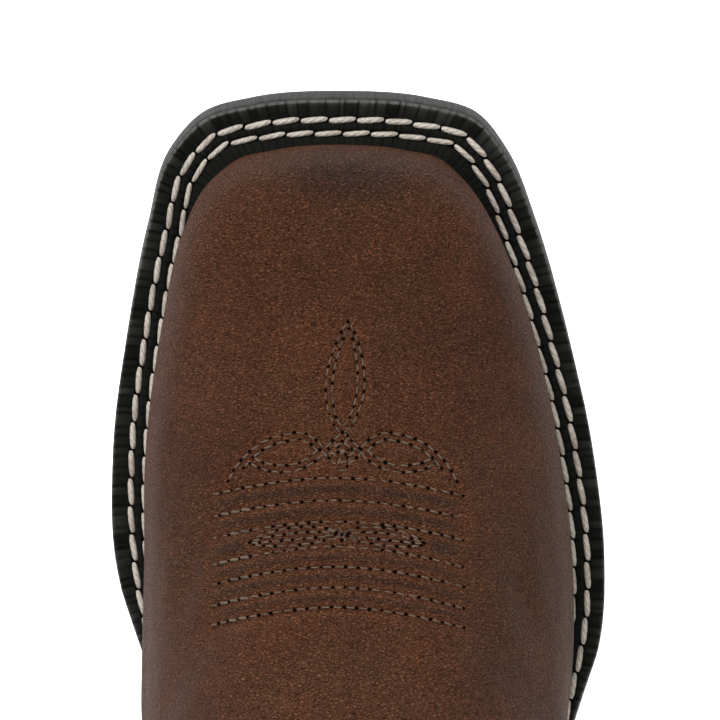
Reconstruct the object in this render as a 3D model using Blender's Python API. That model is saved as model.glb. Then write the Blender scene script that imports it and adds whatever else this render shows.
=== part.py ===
"""A right western boot with a broad square toe, modelled in metres.

X points to the outer side of the foot, Y to the toe and Z up.
The origin is the middle of the heel's face on the floor.

The boot's surface is a function of u and v. u runs once round the boot, from the middle of
the heel back along the inner side to the toe at 0.5, and home along the outer side.
v climbs from ring to ring, from the feather line where the upper meets the sole to the collar.
Every layer of leather lies at its own depth under that surface.
"""

import math

import bmesh
import bpy
import numpy as np

# Lengths and widths
LENGTH = 0.308              # outsole from the heel's back to the toe's tip
HEEL_BACK = 0.036           # from the origin back to the outsole's edge
BALL_WIDTH = 0.115          # outsole across the ball
SHAFT_WIDTH = 0.106         # shaft across, at the collar
WELT_LEDGE = 0.0125         # how far the sole stands out from the upper at the toe

# Heights
HEEL_HEIGHT = 0.034         # floor to the outsole's underside at the back
TOE_SPRING = 0.011          # floor to the outsole's underside at the toe's tip
INSTEP_HEIGHT = 0.100       # rise of the upper's ridge above the outsole
BOOT_HEIGHT = 0.326         # floor to the collar's high points at the sides

# Thicknesses and clearances
GAP = 0.0003
LOOSE = 0.0006              # at the insole, the welt's inner edge and the pull straps
SOLE = 0.0070
WELT = 0.0038
WELT_LIP = 0.0022           # height of the storm lip along the upper
WELT_LIP_WIDTH = 0.0022
WALL = 0.0022
OVERLAY = 0.0015
INSOLE = 0.0035
TOP_LIFT = 0.0080

# Heel
HEEL_BREAST = 0.036         # from the origin forward to the heel's front face
HEEL_TAPER = 0.0035         # how much smaller the heel is at the floor, all round
BREAST_SLANT = 0.003

# Tread
GROOVE_WIDTH = 0.0035
GROOVE_DEPTH = 0.0018
GROOVE_BORDER = 0.015       # plain edge left round the grooves
GROOVE_PITCH = 0.0165
GROOVE_BEND = 0.007         # how far a groove's middle lies ahead of its ends
GROOVE_FIRST = 0.60         # share of LENGTH at which the grooves begin
GROOVE_LAST = 0.95
GROOVE_POINTS = 7
CUTTER_REACH = 0.004        # how far the grooves' cutter hangs under the sole

# Pull straps
STRAP_WIDTH = 0.025
STRAP = 0.0018
STRAP_RISE = 0.021          # loop's inside above the collar
STRAP_LOOP = 0.0100         # loop's inside across
STRAP_OUTER_LEG = 0.052
STRAP_INNER_LEG = 0.040
STRAP_COLUMNS = 5
STRAP_ROWS = 5
LOOP_ROWS = 9

# Mesh density
AROUND = 64
FOOT_STEPS = 8
LEG_STEPS = 9
CROWDING = 0.03             # how far the columns move towards the heel and the toe
HEEL_POINTS = 13
FINE = 400                  # samples for reading a curve at a distance along the foot
CORNER_STEP = 0.02          # stretch of the outline over which the ledge is measured square

# The plan, a row for each section from heel to toe. Stations are shares of LENGTH. The other
# columns are shares of BALL_WIDTH, apart from the ledge, which is a share of WELT_LEDGE.
PLAN_COLUMNS = ("station", "sole_in", "sole_out", "ledge", "upper_station", "upper_in", "upper_out")
PLAN = (
    (0.036, 0.217, 0.217, 0.36, 0.034, 0.191, 0.196),
    (0.101, 0.304, 0.309, 0.36, 0.094, 0.283, 0.287),
    (0.182, 0.309, 0.317, 0.38, 0.175, 0.304, 0.309),
    (0.312, 0.296, 0.317, 0.50, 0.305, 0.339, 0.357),
    (0.442, 0.317, 0.374, 0.56, 0.442, 0.387, 0.404),
    (0.536, 0.396, 0.461, 0.68, 0.539, 0.423, 0.421),
    (0.573, 0.437, 0.493, 0.74, 0.575, 0.424, 0.432),
    (0.646, 0.490, 0.506, 0.78, 0.649, 0.421, 0.431),
    (0.719, 0.496, 0.487, 0.80, 0.722, 0.419, 0.408),
    (0.829, 0.463, 0.426, 0.82, 0.828, 0.381, 0.344),
    (0.902, 0.424, 0.369, 0.87, 0.890, 0.341, 0.279),
    (0.957, 0.379, 0.308, 1.05, 0.925, 0.285, 0.214),
    (0.984, 0.312, 0.247, 1.11, 0.941, 0.218, 0.152),
    (0.9955, 0.209, 0.143, 1.08, 0.947, 0.136, 0.075),
)
HEEL_TIP = (0.000, 0.0, 0.36, 0.0016, 0.0)
TOE_TIP = (1.000, -0.0365, 1.05, 0.950, -0.035)

# The underside's profile: heel is a share of HEEL_HEIGHT and spring one of TOE_SPRING.
PROFILE_COLUMNS = ("station", "heel", "spring")
PROFILE = (
    (0.00, 1.00, 0.00),
    (0.12, 0.985, 0.00),
    (0.22, 0.95, 0.00),
    (0.32, 0.79, 0.00),
    (0.42, 0.46, 0.00),
    (0.50, 0.19, 0.00),
    (0.57, 0.045, 0.00),
    (0.62, 0.00, 0.00),
    (0.76, 0.00, 0.00),
    (0.84, 0.00, 0.16),
    (0.92, 0.00, 0.50),
    (1.00, 0.00, 1.00),
)

# The rings of the surface, from feather line to collar. fill goes from the feather outline to
# the widest one. back and front are shares of LENGTH, and half is a share of SHAFT_WIDTH. round
# is how far the ring has left the foot's outline for an ellipse, at its front and at its back.
# follow is how far it rises and falls with the sole. rise is in shares of INSTEP_HEIGHT, and
# climb in shares of the leg's height above that, both at the back, the sides and the front.
RING_COLUMNS = (
    "fill", "back", "front", "width", "half", "round_front", "round_back", "follow",
    "rise_back", "rise_side", "rise_front", "climb_back", "climb_side", "climb_front",
)
RINGS = (
    (0.00, 0.0146, 0.9550, 1.00, 0.45, 0.00, 0.00, 1.00, 0.00, 0.00, 0.00, 0.00, 0.00, 0.00),
    (0.50, 0.0060, 0.9558, 1.00, 0.45, 0.00, 0.00, 1.00, 0.11, 0.10, 0.10, 0.00, 0.00, 0.00),
    (1.00, 0.0016, 0.9487, 1.00, 0.45, 0.00, 0.00, 1.00, 0.25, 0.22, 0.22, 0.00, 0.00, 0.00),
    (1.00, 0.0020, 0.9270, 0.97, 0.43, 0.16, 0.00, 1.00, 0.39, 0.335, 0.32, 0.00, 0.00, 0.00),
    (1.00, 0.0080, 0.8670, 0.95, 0.41, 0.52, 0.00, 1.00, 0.55, 0.44, 0.40, 0.00, 0.00, 0.00),
    (1.00, 0.0150, 0.7820, 0.93, 0.395, 0.95, 0.08, 1.00, 0.72, 0.56, 0.50, 0.00, 0.00, 0.00),
    (1.00, 0.0200, 0.6880, 0.92, 0.385, 1.00, 0.18, 1.00, 0.89, 0.69, 0.61, 0.00, 0.00, 0.00),
    (1.00, 0.0220, 0.6040, 0.92, 0.380, 1.00, 0.32, 0.90, 1.00, 0.81, 0.70, 0.03, 0.00, 0.00),
    (1.00, 0.0200, 0.5260, 0.92, 0.382, 1.00, 0.50, 0.75, 1.00, 0.94, 0.80, 0.11, 0.00, 0.00),
    (1.00, 0.0120, 0.4610, 0.92, 0.393, 1.00, 0.70, 0.50, 1.00, 1.00, 0.92, 0.20, 0.05, 0.00),
    (1.00, -0.0020, 0.4110, 0.92, 0.415, 1.00, 0.88, 0.20, 1.00, 1.00, 1.00, 0.31, 0.16, 0.05),
    (1.00, -0.0230, 0.3830, 0.92, 0.449, 1.00, 1.00, 0.00, 1.00, 1.00, 1.00, 0.45, 0.36, 0.23),
    (1.00, -0.0480, 0.3720, 0.92, 0.480, 1.00, 1.00, 0.00, 1.00, 1.00, 1.00, 0.63, 0.67, 0.51),
    (1.00, -0.0680, 0.3720, 0.92, 0.500, 1.00, 1.00, 0.00, 1.00, 1.00, 1.00, 0.80, 1.00, 0.79),
)

# The upper edge of the vamp and the heel counter, in rings, and the side seams between them.
# The vamp sweeps up to its full height at the toe from this share of the way forward.
VAMP_START = 0.12
VAMP_HEIGHT = 8.0
VAMP_PEAK = 8.9
SEAM_HEIGHT = 3.6
COUNTER_PEAK = 4.9
SEAM_IN = 11                # columns from the heel's back to the inner seam
SEAM_OUT = AROUND - SEAM_IN

# Sizes that follow from the others
HEEL_SEAT = HEEL_HEIGHT + SOLE
LEG_HEIGHT = BOOT_HEIGHT - HEEL_SEAT - INSTEP_HEIGHT
UPPER_DEPTH = OVERLAY + GAP
LAST_RING = len(RINGS) - 1


def columns(names, rows):
    """A table as arrays under its column names."""
    return dict(zip(names, np.array(rows).T))


PROFILE_TABLE = columns(PROFILE_COLUMNS, PROFILE)
PLAN_TABLE = columns(PLAN_COLUMNS, PLAN)
RING_TABLE = columns(RING_COLUMNS, RINGS)


def hermite(knots, values, slopes, where):
    """Cubic curve through values at knots with the given slopes; values may be points."""
    index = np.clip(np.searchsorted(knots, where, side="right") - 1, 0, len(knots) - 2)
    step = knots[index + 1] - knots[index]
    share = (where - knots[index]) / step
    extra = (1,) * (values.ndim - 1)
    share = share.reshape(share.shape + extra)
    step = step.reshape(step.shape + extra)
    start = (1 + 2 * share) * (1 - share) ** 2 * values[index]
    finish = share ** 2 * (3 - 2 * share) * values[index + 1]
    leave = share * (1 - share) ** 2 * step * slopes[index]
    arrive = share ** 2 * (share - 1) * step * slopes[index + 1]
    return start + finish + leave + arrive


def level_slopes(knots, values):
    """Slopes that keep a profile flat where two rows are equal, and never overshoot."""
    chord = np.diff(values) / np.diff(knots)
    before = chord[:-1]
    after = chord[1:]
    same_way = before * after > 0
    total = np.where(same_way, before + after, 1.0)
    middle = np.where(same_way, 2 * before * after / total, 0.0)
    return np.concatenate(([chord[0]], middle, [chord[-1]]))


def underside(y):
    """Height of the outsole's underside at a distance y from the origin."""
    station = np.clip((np.asarray(y) + HEEL_BACK) / LENGTH, 0.0, 1.0)
    knots = PROFILE_TABLE["station"]
    heel = hermite(knots, PROFILE_TABLE["heel"], level_slopes(knots, PROFILE_TABLE["heel"]), station)
    spring = hermite(knots, PROFILE_TABLE["spring"], level_slopes(knots, PROFILE_TABLE["spring"]), station)
    return HEEL_HEIGHT * heel + TOE_SPRING * spring


def seat(y):
    """Height of the outsole's top, which the upper, welt and insole sit on."""
    return underside(y) + SOLE


def round_trip(tip_back, inner, tip_front, outer):
    """Values once round the boot: heel tip, inner rows, toe tip, outer rows backwards."""
    return np.concatenate(([tip_back], inner, [tip_front], outer[::-1]))


def plan_points(station_key, inner_key, outer_key, tip_station, tip_side):
    """The table's points of one outline, in metres, in order round the boot."""
    stations = PLAN_TABLE[station_key]
    inner = -PLAN_TABLE[inner_key]
    outer = PLAN_TABLE[outer_key]
    along = round_trip(HEEL_TIP[tip_station], stations, TOE_TIP[tip_station], stations)
    across = round_trip(HEEL_TIP[tip_side], inner, TOE_TIP[tip_side], outer)
    return np.column_stack((across * BALL_WIDTH, along * LENGTH - HEEL_BACK))


def closed_curve(points, knots, where):
    """Smooth closed curve through points at knots that run from 0 to 1."""
    around = np.concatenate((points[-1:], points, points[:2]))
    spread = np.concatenate(([knots[-2] - 1.0], knots, [1.0 + knots[1]]))
    before = np.diff(around[:-1], axis=0) / np.diff(spread[:-1])[:, None]
    after = np.diff(around[1:], axis=0) / np.diff(spread[1:])[:, None]
    near = np.diff(spread[:-1])[:, None]
    far = np.diff(spread[1:])[:, None]
    slopes = (before * far + after * near) / (near + far)
    values = np.concatenate((points, points[:1]))
    return hermite(knots, values, slopes, np.mod(where, 1.0))


SOLE_POINTS = plan_points("station", "sole_in", "sole_out", 0, 1)
UPPER_POINTS = plan_points("upper_station", "upper_in", "upper_out", 3, 4)
LEDGES = round_trip(HEEL_TIP[2], PLAN_TABLE["ledge"], TOE_TIP[2], PLAN_TABLE["ledge"])[:, None] * WELT_LEDGE


def outline_knots():
    """Shares of the way round at which the table's points lie, the same on both sides."""
    steps = np.linalg.norm(np.diff(np.concatenate((SOLE_POINTS, SOLE_POINTS[:1])), axis=0), axis=1)
    paired = (steps + steps[::-1]) / 2
    distance = np.concatenate(([0.0], np.cumsum(paired)))
    return distance / distance[-1]


OUTLINE_KNOTS = outline_knots()


def sole_outline(u):
    """Edge of the outsole, seen from above."""
    return closed_curve(SOLE_POINTS, OUTLINE_KNOTS, u)


def upper_outline(u):
    """Widest line of the upper, seen from above."""
    return closed_curve(UPPER_POINTS, OUTLINE_KNOTS, u)


def outward(curve, u, step=1e-4):
    """Unit vectors square to a plan curve over a step of it, pointing away from the boot."""
    run = curve(u + step) - curve(u - step)
    run = run / np.linalg.norm(run, axis=1)[:, None]
    return np.column_stack((-run[:, 1], run[:, 0]))


def feather_outline(u):
    """Line where the upper meets the sole: the sole's edge moved in by the ledge.

    The way in is taken over a longer step, so that the line runs round the toe's corners
    without folding where the ledge is wider than a corner's radius.
    """
    ledge = closed_curve(LEDGES, OUTLINE_KNOTS, u)
    return sole_outline(u) - outward(sole_outline, u, CORNER_STEP) * ledge


def between(back, side, front, u):
    """A value that has these three sizes at the heel's back, the sides and the toe."""
    turn = np.cos(2 * math.pi * u)
    at_back = np.maximum(turn, 0.0) ** 2
    at_front = np.maximum(-turn, 0.0) ** 2
    return side + (back - side) * at_back + (front - side) * at_front


def ring(row, u):
    """One ring of the surface as points, for an array of shares u of the way round."""
    size = {name: values[row] for name, values in RING_TABLE.items()}
    foot = feather_outline(u) * (1 - size["fill"]) + upper_outline(u) * size["fill"]
    ends = np.array([0.0, 0.5])
    own = feather_outline(ends) * (1 - size["fill"]) + upper_outline(ends) * size["fill"]
    back = size["back"] * LENGTH - HEEL_BACK
    front = size["front"] * LENGTH - HEEL_BACK
    stretch = (front - back) / (own[1, 1] - own[0, 1])
    foot_x = foot[:, 0] * size["width"]
    foot_y = back + (foot[:, 1] - own[0, 1]) * stretch
    angle = 2 * math.pi * u
    tube_x = -np.sin(angle) * size["half"] * SHAFT_WIDTH
    tube_y = (front + back) / 2 - np.cos(angle) * (front - back) / 2
    toward_front = 0.5 - 0.5 * np.cos(angle)
    rounded = size["round_back"] + (size["round_front"] - size["round_back"]) * toward_front
    x = foot_x + (tube_x - foot_x) * rounded
    y = foot_y + (tube_y - foot_y) * rounded
    base = seat(y) * size["follow"] + HEEL_SEAT * (1 - size["follow"]) + GAP
    rise = between(size["rise_back"], size["rise_side"], size["rise_front"], u) * INSTEP_HEIGHT
    climb = between(size["climb_back"], size["climb_side"], size["climb_front"], u) * LEG_HEIGHT
    return np.column_stack((x, y, base + rise + climb))


def surface(u, v):
    """Points of the boot's outer surface for two arrays of one shape."""
    shape = u.shape
    u = u.ravel()
    v = np.clip(v.ravel(), 0.0, LAST_RING)
    rings = np.stack([ring(row, u) for row in range(len(RINGS))])
    slopes = np.gradient(rings, axis=0)
    low = np.clip(v.astype(int), 0, LAST_RING - 1)
    share = (v - low)[:, None]
    pick = np.arange(len(u))
    start = (1 + 2 * share) * (1 - share) ** 2 * rings[low, pick]
    finish = share ** 2 * (3 - 2 * share) * rings[low + 1, pick]
    leave = share * (1 - share) ** 2 * slopes[low, pick]
    arrive = share ** 2 * (share - 1) * slopes[low + 1, pick]
    return (start + finish + leave + arrive).reshape(shape + (3,))


def layer(u, v, depth):
    """Points that lie a depth under the surface; the bottom edge moves level with the sole."""
    step = 1e-3
    along = surface(u + step, v) - surface(u - step, v)
    low = np.clip(v - step, 0.0, LAST_RING)
    high = np.clip(v + step, 0.0, LAST_RING)
    up = surface(u, high) - surface(u, low)
    normal = np.cross(up, along)
    normal[..., 2] *= np.clip(v / 2.0, 0.0, 1.0)
    normal /= np.linalg.norm(normal, axis=-1)[..., None]
    return surface(u, v) - normal * depth


def shares_around(count):
    """Shares of the way round, closer together at the heel and the toe than at the sides."""
    even = np.arange(count) / count
    return even - CROWDING * np.sin(4 * math.pi * even)


def overlay_line(u):
    """Upper edge of the vamp and the heel counter, in rings."""
    turn = np.cos(2 * math.pi * u)
    forward = (1 - turn) / 2
    share = np.clip((forward - VAMP_START) / (1 - VAMP_START), 0.0, 1.0)
    sweep = share ** 2 * (3 - 2 * share)
    counter = np.maximum(turn, 0.0) ** 2
    return (
        SEAM_HEIGHT
        + (VAMP_HEIGHT - SEAM_HEIGHT) * sweep
        + (VAMP_PEAK - VAMP_HEIGHT) * forward ** 10
        + (COUNTER_PEAK - SEAM_HEIGHT) * counter
    )


def material(name, colour, roughness, metallic=0.0):
    """A plain Principled material."""
    made = bpy.data.materials.new(name)
    made.use_nodes = True
    shader = made.node_tree.nodes["Principled BSDF"]
    shader.inputs["Base Color"].default_value = (*colour, 1.0)
    shader.inputs["Roughness"].default_value = roughness
    shader.inputs["Metallic"].default_value = metallic
    return made


def solid(name, points, faces, finish):
    """An object from points and faces, with its normals turned outwards."""
    mesh = bpy.data.meshes.new(name)
    made = bpy.data.objects.new(name, mesh)
    bpy.context.scene.collection.objects.link(made)
    work = bmesh.new()
    corners = [work.verts.new(point) for point in points]
    for face in faces:
        work.faces.new([corners[index] for index in face])
    bmesh.ops.recalc_face_normals(work, faces=work.faces)
    bmesh.ops.triangulate(work, faces=work.faces, quad_method="BEAUTY")
    work.to_mesh(mesh)
    work.free()
    mesh.materials.append(finish)
    mesh.shade_smooth()
    mesh.set_sharp_from_angle(angle=math.radians(35))
    return made


def shell(name, outer, inner, closed, finish):
    """A wall between two grids of points, whose columns close on themselves or end in rims."""
    count, levels = outer.shape[:2]
    total = count * levels
    points = np.concatenate((outer.reshape(-1, 3), inner.reshape(-1, 3)))

    def at(column, level, side):
        return (column % count) * levels + level + side * total

    faces = []
    spans = count if closed else count - 1
    for column in range(spans):
        for level in range(levels - 1):
            for side in (0, 1):
                faces.append((
                    at(column, level, side),
                    at(column + 1, level, side),
                    at(column + 1, level + 1, side),
                    at(column, level + 1, side),
                ))
        for level in (0, levels - 1):
            faces.append((
                at(column, level, 0),
                at(column + 1, level, 0),
                at(column + 1, level, 1),
                at(column, level, 1),
            ))
    if not closed:
        for column in (0, count - 1):
            for level in range(levels - 1):
                faces.append((
                    at(column, level, 0),
                    at(column, level + 1, 0),
                    at(column, level + 1, 1),
                    at(column, level, 1),
                ))
    return solid(name, points, faces, finish)


def slab(name, upper_edge, lower_edge, finish):
    """A plate between two edges, in strips that run from one side of the boot to the other.

    An edge starts at the heel's back and lists the inner side's points forwards, then the outer
    side's backwards. It ends in one point at the toe, or square across.
    """
    size = len(upper_edge)
    points = np.concatenate((upper_edge, lower_edge))
    pairs = [(row, (size - row) % size) for row in range(size // 2 + 1)]
    faces = []
    for (in_a, out_a), (in_b, out_b) in zip(pairs[:-1], pairs[1:]):
        strip = list(dict.fromkeys((in_a, in_b, out_b, out_a)))
        faces.append(strip)
        faces.append([index + size for index in strip])
        faces.append((in_a, in_b, in_b + size, in_a + size))
        faces.append((out_a, out_b, out_b + size, out_a + size))
    inner, outer = pairs[-1]
    if inner != outer:
        faces.append((inner, outer, outer + size, inner + size))
    return solid(name, points, faces, finish)


def with_height(plan, height):
    """Plan points raised to their heights."""
    return np.column_stack((plan, height))


def make_upper(finish):
    """The hollow body of the boot, from the feather line to the collar."""
    u = shares_around(AROUND)
    outer, inner = [], []
    for share in u:
        line = overlay_line(share)
        foot = np.linspace(0.0, line, FOOT_STEPS + 1)
        leg = np.linspace(line, LAST_RING, LEG_STEPS + 1)[1:]
        v = np.concatenate((foot, leg))
        around = np.full(len(v), share)
        outer.append(layer(around, v, UPPER_DEPTH))
        inner.append(layer(around, v, UPPER_DEPTH + WALL))
    return shell("upper", np.array(outer), np.array(inner), True, finish)


def make_overlay(name, first, last, finish):
    """Leather lapped over the upper between two side seams, up to the overlay line."""
    u = shares_around(AROUND)
    outer, inner = [], []
    for column in range(first, last + 1):
        share = u[column % AROUND]
        v = np.linspace(0.0, overlay_line(share), FOOT_STEPS + 1)
        around = np.full(len(v), share)
        outer.append(layer(around, v, 0.0))
        inner.append(layer(around, v, OVERLAY))
    outer = np.array(outer)
    inner = np.array(inner)
    for grid in (outer, inner):
        for edge, neighbour in ((0, 1), (-1, -2)):
            run = grid[neighbour] - grid[edge]
            run /= np.linalg.norm(run, axis=1)[:, None]
            grid[edge] += run * GAP
    return shell(name, outer, inner, False, finish)


def beside_wall(u, depth, rise):
    """Plan points beside a layer's lowest row of facets, at a rise above its bottom edge."""
    low = layer(u, np.zeros(len(u)), depth)
    high = layer(u, overlay_line(u) / FOOT_STEPS, depth)
    share = rise / (high[:, 2] - low[:, 2])
    return (low + (high - low) * share[:, None])[:, :2]


def make_welt(finish):
    """The storm welt round the forepart, from heel breast to heel breast."""
    u = shares_around(AROUND)
    y = sole_outline(u)[:, 1]
    keep = u[(y > HEEL_BREAST + GAP)]
    inner = beside_wall(keep, -LOOSE, WELT + WELT_LIP)
    edge = sole_outline(keep)
    across = edge - inner
    lip = inner + across / np.linalg.norm(across, axis=1)[:, None] * WELT_LIP_WIDTH
    rows = (
        (edge, GAP),
        (edge, WELT),
        (lip, WELT),
        (lip, WELT + WELT_LIP / 2),
        (inner, WELT + WELT_LIP),
        (inner, GAP),
    )
    profile = np.stack([with_height(plan, seat(plan[:, 1]) + rise) for plan, rise in rows], axis=1)
    count, corners = profile.shape[:2]
    faces = []
    for column in range(count - 1):
        for corner in range(corners):
            after = (corner + 1) % corners
            faces.append((
                column * corners + corner,
                (column + 1) * corners + corner,
                (column + 1) * corners + after,
                column * corners + after,
            ))
    faces.append(tuple(range(corners)))
    faces.append(tuple((count - 1) * corners + corner for corner in range(corners)))
    return solid("welt", profile.reshape(-1, 3), faces, finish)


def groove_cutter():
    """Curved bars across the forepart that are cut out of the outsole's underside."""
    last = GROOVE_LAST * LENGTH - HEEL_BACK
    mesh = bpy.data.meshes.new("grooves")
    cutter = bpy.data.objects.new("grooves", mesh)
    bpy.context.scene.collection.objects.link(cutter)
    work = bmesh.new()
    u = np.linspace(0.0, 1.0, FINE, endpoint=False)
    edge = sole_outline(u)
    inner_side = edge[u < 0.5]
    outer_side = edge[u > 0.5]
    y = GROOVE_FIRST * LENGTH - HEEL_BACK
    while y < last:
        left = np.interp(y, inner_side[:, 1], inner_side[:, 0]) + GROOVE_BORDER
        right = np.interp(y, outer_side[::-1, 1], outer_side[::-1, 0]) - GROOVE_BORDER
        share = np.linspace(-1.0, 1.0, GROOVE_POINTS)
        x = (left + right) / 2 + share * (right - left) / 2
        bend = y + GROOVE_BEND * (1 - share ** 2)
        floor = underside(bend)
        corners = []
        section = ((-1, -CUTTER_REACH), (-1, GROOVE_DEPTH), (1, GROOVE_DEPTH), (1, -CUTTER_REACH))
        for index in range(len(x)):
            for side, height in section:
                point = (x[index], bend[index] + side * GROOVE_WIDTH / 2, floor[index] + height)
                corners.append(work.verts.new(point))
        for index in range(len(x) - 1):
            for side in range(4):
                here = index * 4
                after = (side + 1) % 4
                work.faces.new((
                    corners[here + side],
                    corners[here + after],
                    corners[here + 4 + after],
                    corners[here + 4 + side],
                ))
        work.faces.new(corners[:4])
        work.faces.new(corners[-4:])
        y += GROOVE_PITCH
    bmesh.ops.recalc_face_normals(work, faces=work.faces)
    work.to_mesh(mesh)
    work.free()
    cutter.hide_render = True
    cutter.display_type = "WIRE"
    return cutter


def make_outsole(finish):
    """The rubber outsole, from heel back to toe tip, with its arch, toe spring and grooves."""
    u = shares_around(AROUND)
    plan = sole_outline(u)
    top = with_height(plan, seat(plan[:, 1]))
    bottom = with_height(plan, underside(plan[:, 1]))
    made = slab("outsole", top, bottom, finish)
    cut = made.modifiers.new("grooves", "BOOLEAN")
    cut.operation = "DIFFERENCE"
    cut.solver = "EXACT"
    cut.object = groove_cutter()
    return made


def heel_plan(depth):
    """Heel outline up to its breast, a depth inside the sole's edge."""
    u = np.linspace(0.0, 0.5, FINE)
    reach = sole_outline(u)[:, 1]
    breast = np.interp(HEEL_BREAST, reach, u)
    inner = np.linspace(0.0, breast, HEEL_POINTS)
    around = np.concatenate((inner, 1.0 - inner[:0:-1]))
    return sole_outline(around) - outward(sole_outline, around) * depth


def heel_slab(name, top, bottom, top_depth, bottom_depth, top_front, bottom_front, finish):
    """A block of the heel between two height functions, with its breast square across."""
    edges = []
    for height, depth, front in ((top, top_depth, top_front), (bottom, bottom_depth, bottom_front)):
        plan = heel_plan(depth)
        middle = len(plan) // 2
        plan[middle:middle + 2, 1] = front
        edges.append(with_height(plan, height(plan[:, 1])))
    return slab(name, edges[0], edges[1], finish)


def make_heel(block_finish, lift_finish):
    """The stacked heel and the rubber top lift under it."""
    share = TOP_LIFT / HEEL_HEIGHT
    lift_depth = HEEL_TAPER * (1 - share)
    lift_front = HEEL_BREAST - BREAST_SLANT * (1 - share)
    heel_slab(
        "heel_block", lambda y: underside(y) - GAP, lambda y: np.full(len(y), TOP_LIFT + GAP),
        0.0, lift_depth, HEEL_BREAST, lift_front, block_finish,
    )
    heel_slab(
        "top_lift", lambda y: np.full(len(y), TOP_LIFT), np.zeros_like,
        lift_depth, HEEL_TAPER, lift_front, HEEL_BREAST - BREAST_SLANT, lift_finish,
    )


def make_insole(finish):
    """The insole, inside the upper's lower edge."""
    u = shares_around(AROUND)
    plan = layer(u, np.zeros(AROUND), UPPER_DEPTH + WALL + LOOSE)[:, :2]
    base = seat(plan[:, 1]) + LOOSE
    top = with_height(plan, base + INSOLE)
    bottom = with_height(plan, base)
    return slab("insole", top, bottom, finish)


def make_pull_strap(name, middle, finish):
    """A strap sewn outside and inside the collar, with its loop above it.

    Its legs follow the shaft's wall, and its loop is half a circle across the wall's middle.
    """
    near = np.linspace(middle - 0.05, middle + 0.05, FINE)
    collar = surface(near, np.full(FINE, float(LAST_RING)))
    run = np.concatenate(([0.0], np.cumsum(np.linalg.norm(np.diff(collar, axis=0), axis=1))))
    run -= np.interp(middle, near, run)
    across = np.interp(np.linspace(-STRAP_WIDTH / 2, STRAP_WIDTH / 2, STRAP_COLUMNS), run, near)
    climb = np.linspace(LAST_RING - 2.0, LAST_RING, FINE)
    path = surface(np.full(FINE, middle), climb)
    height = np.concatenate(([0.0], np.cumsum(np.linalg.norm(np.diff(path, axis=0), axis=1))))
    height -= height[-1]
    outer_v = np.interp(np.linspace(-STRAP_OUTER_LEG, 0.0, STRAP_ROWS), height, climb)
    inner_v = np.interp(np.linspace(0.0, -STRAP_INNER_LEG, STRAP_ROWS), height, climb)
    bulge = STRAP_LOOP / 2
    turn = np.linspace(0.0, math.pi, LOOP_ROWS)[:, None]
    upward = np.array([0.0, 0.0, 1.0])
    faces_of_strap = []
    for grow in (STRAP, 0.0):
        grid = []
        for share in across:
            around = np.full(STRAP_ROWS, share)
            leg_out = layer(around, outer_v, UPPER_DEPTH - LOOSE - grow)
            leg_in = layer(around, inner_v, UPPER_DEPTH + WALL + LOOSE + grow)
            away = leg_out[-1] - leg_in[0]
            away[2] = 0.0
            away /= np.linalg.norm(away)
            centre = (leg_out[-1] + leg_in[0]) / 2 + upward * (STRAP_RISE - bulge)
            loop = centre + (away * np.cos(turn) + upward * np.sin(turn)) * (bulge + grow)
            grid.append(np.concatenate((leg_out, loop, leg_in)))
        faces_of_strap.append(np.array(grid))
    return shell(name, faces_of_strap[0], faces_of_strap[1], False, finish)


def build():
    """Empty the scene and make the boot."""
    for old in list(bpy.data.objects):
        bpy.data.objects.remove(old, do_unlink=True)
    brown = material("vamp_leather", (0.085, 0.040, 0.024), 0.48)
    shaft_leather = material("shaft_leather", (0.070, 0.032, 0.019), 0.50)
    strap_leather = material("strap_leather", (0.060, 0.028, 0.017), 0.52)
    black_rubber = material("outsole_rubber", (0.055, 0.055, 0.056), 0.60)
    welt_black = material("welt_black", (0.020, 0.019, 0.019), 0.45)
    heel_black = material("heel_black", (0.024, 0.022, 0.021), 0.42)
    lift_rubber = material("top_lift_rubber", (0.040, 0.040, 0.041), 0.65)
    tan = material("insole_leather", (0.36, 0.22, 0.12), 0.65)
    make_outsole(black_rubber)
    make_heel(heel_black, lift_rubber)
    make_welt(welt_black)
    make_insole(tan)
    make_upper(shaft_leather)
    make_overlay("vamp", SEAM_IN, SEAM_OUT, brown)
    make_overlay("heel_counter", SEAM_OUT, AROUND + SEAM_IN, brown)
    make_pull_strap("pull_strap_medial", 0.25, strap_leather)
    make_pull_strap("pull_strap_lateral", 0.75, strap_leather)


build()
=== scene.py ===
"""Finish of a right western boot: leather, stitched storm welt, rubber sole and lining.

Everything is in metres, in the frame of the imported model: X to the outer side of the foot,
Y to the toe, Z up, with the origin in the middle of the heel's face on the floor.
"""

import math

import bmesh
import bpy
import numpy as np
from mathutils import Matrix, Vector
from mathutils.bvhtree import BVHTree


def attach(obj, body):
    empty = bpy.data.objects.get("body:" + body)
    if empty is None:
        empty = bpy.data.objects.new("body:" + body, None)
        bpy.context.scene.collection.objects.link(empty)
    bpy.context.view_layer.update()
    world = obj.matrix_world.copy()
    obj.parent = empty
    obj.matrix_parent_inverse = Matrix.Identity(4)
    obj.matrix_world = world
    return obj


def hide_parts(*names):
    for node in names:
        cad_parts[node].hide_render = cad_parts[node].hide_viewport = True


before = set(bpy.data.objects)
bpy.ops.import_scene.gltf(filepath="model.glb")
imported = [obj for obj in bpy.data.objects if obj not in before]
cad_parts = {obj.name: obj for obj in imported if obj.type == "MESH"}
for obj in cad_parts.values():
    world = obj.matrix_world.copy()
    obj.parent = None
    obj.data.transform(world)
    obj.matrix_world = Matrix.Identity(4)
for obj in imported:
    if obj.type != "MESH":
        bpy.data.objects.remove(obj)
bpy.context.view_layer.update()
MM = 0.001

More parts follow.
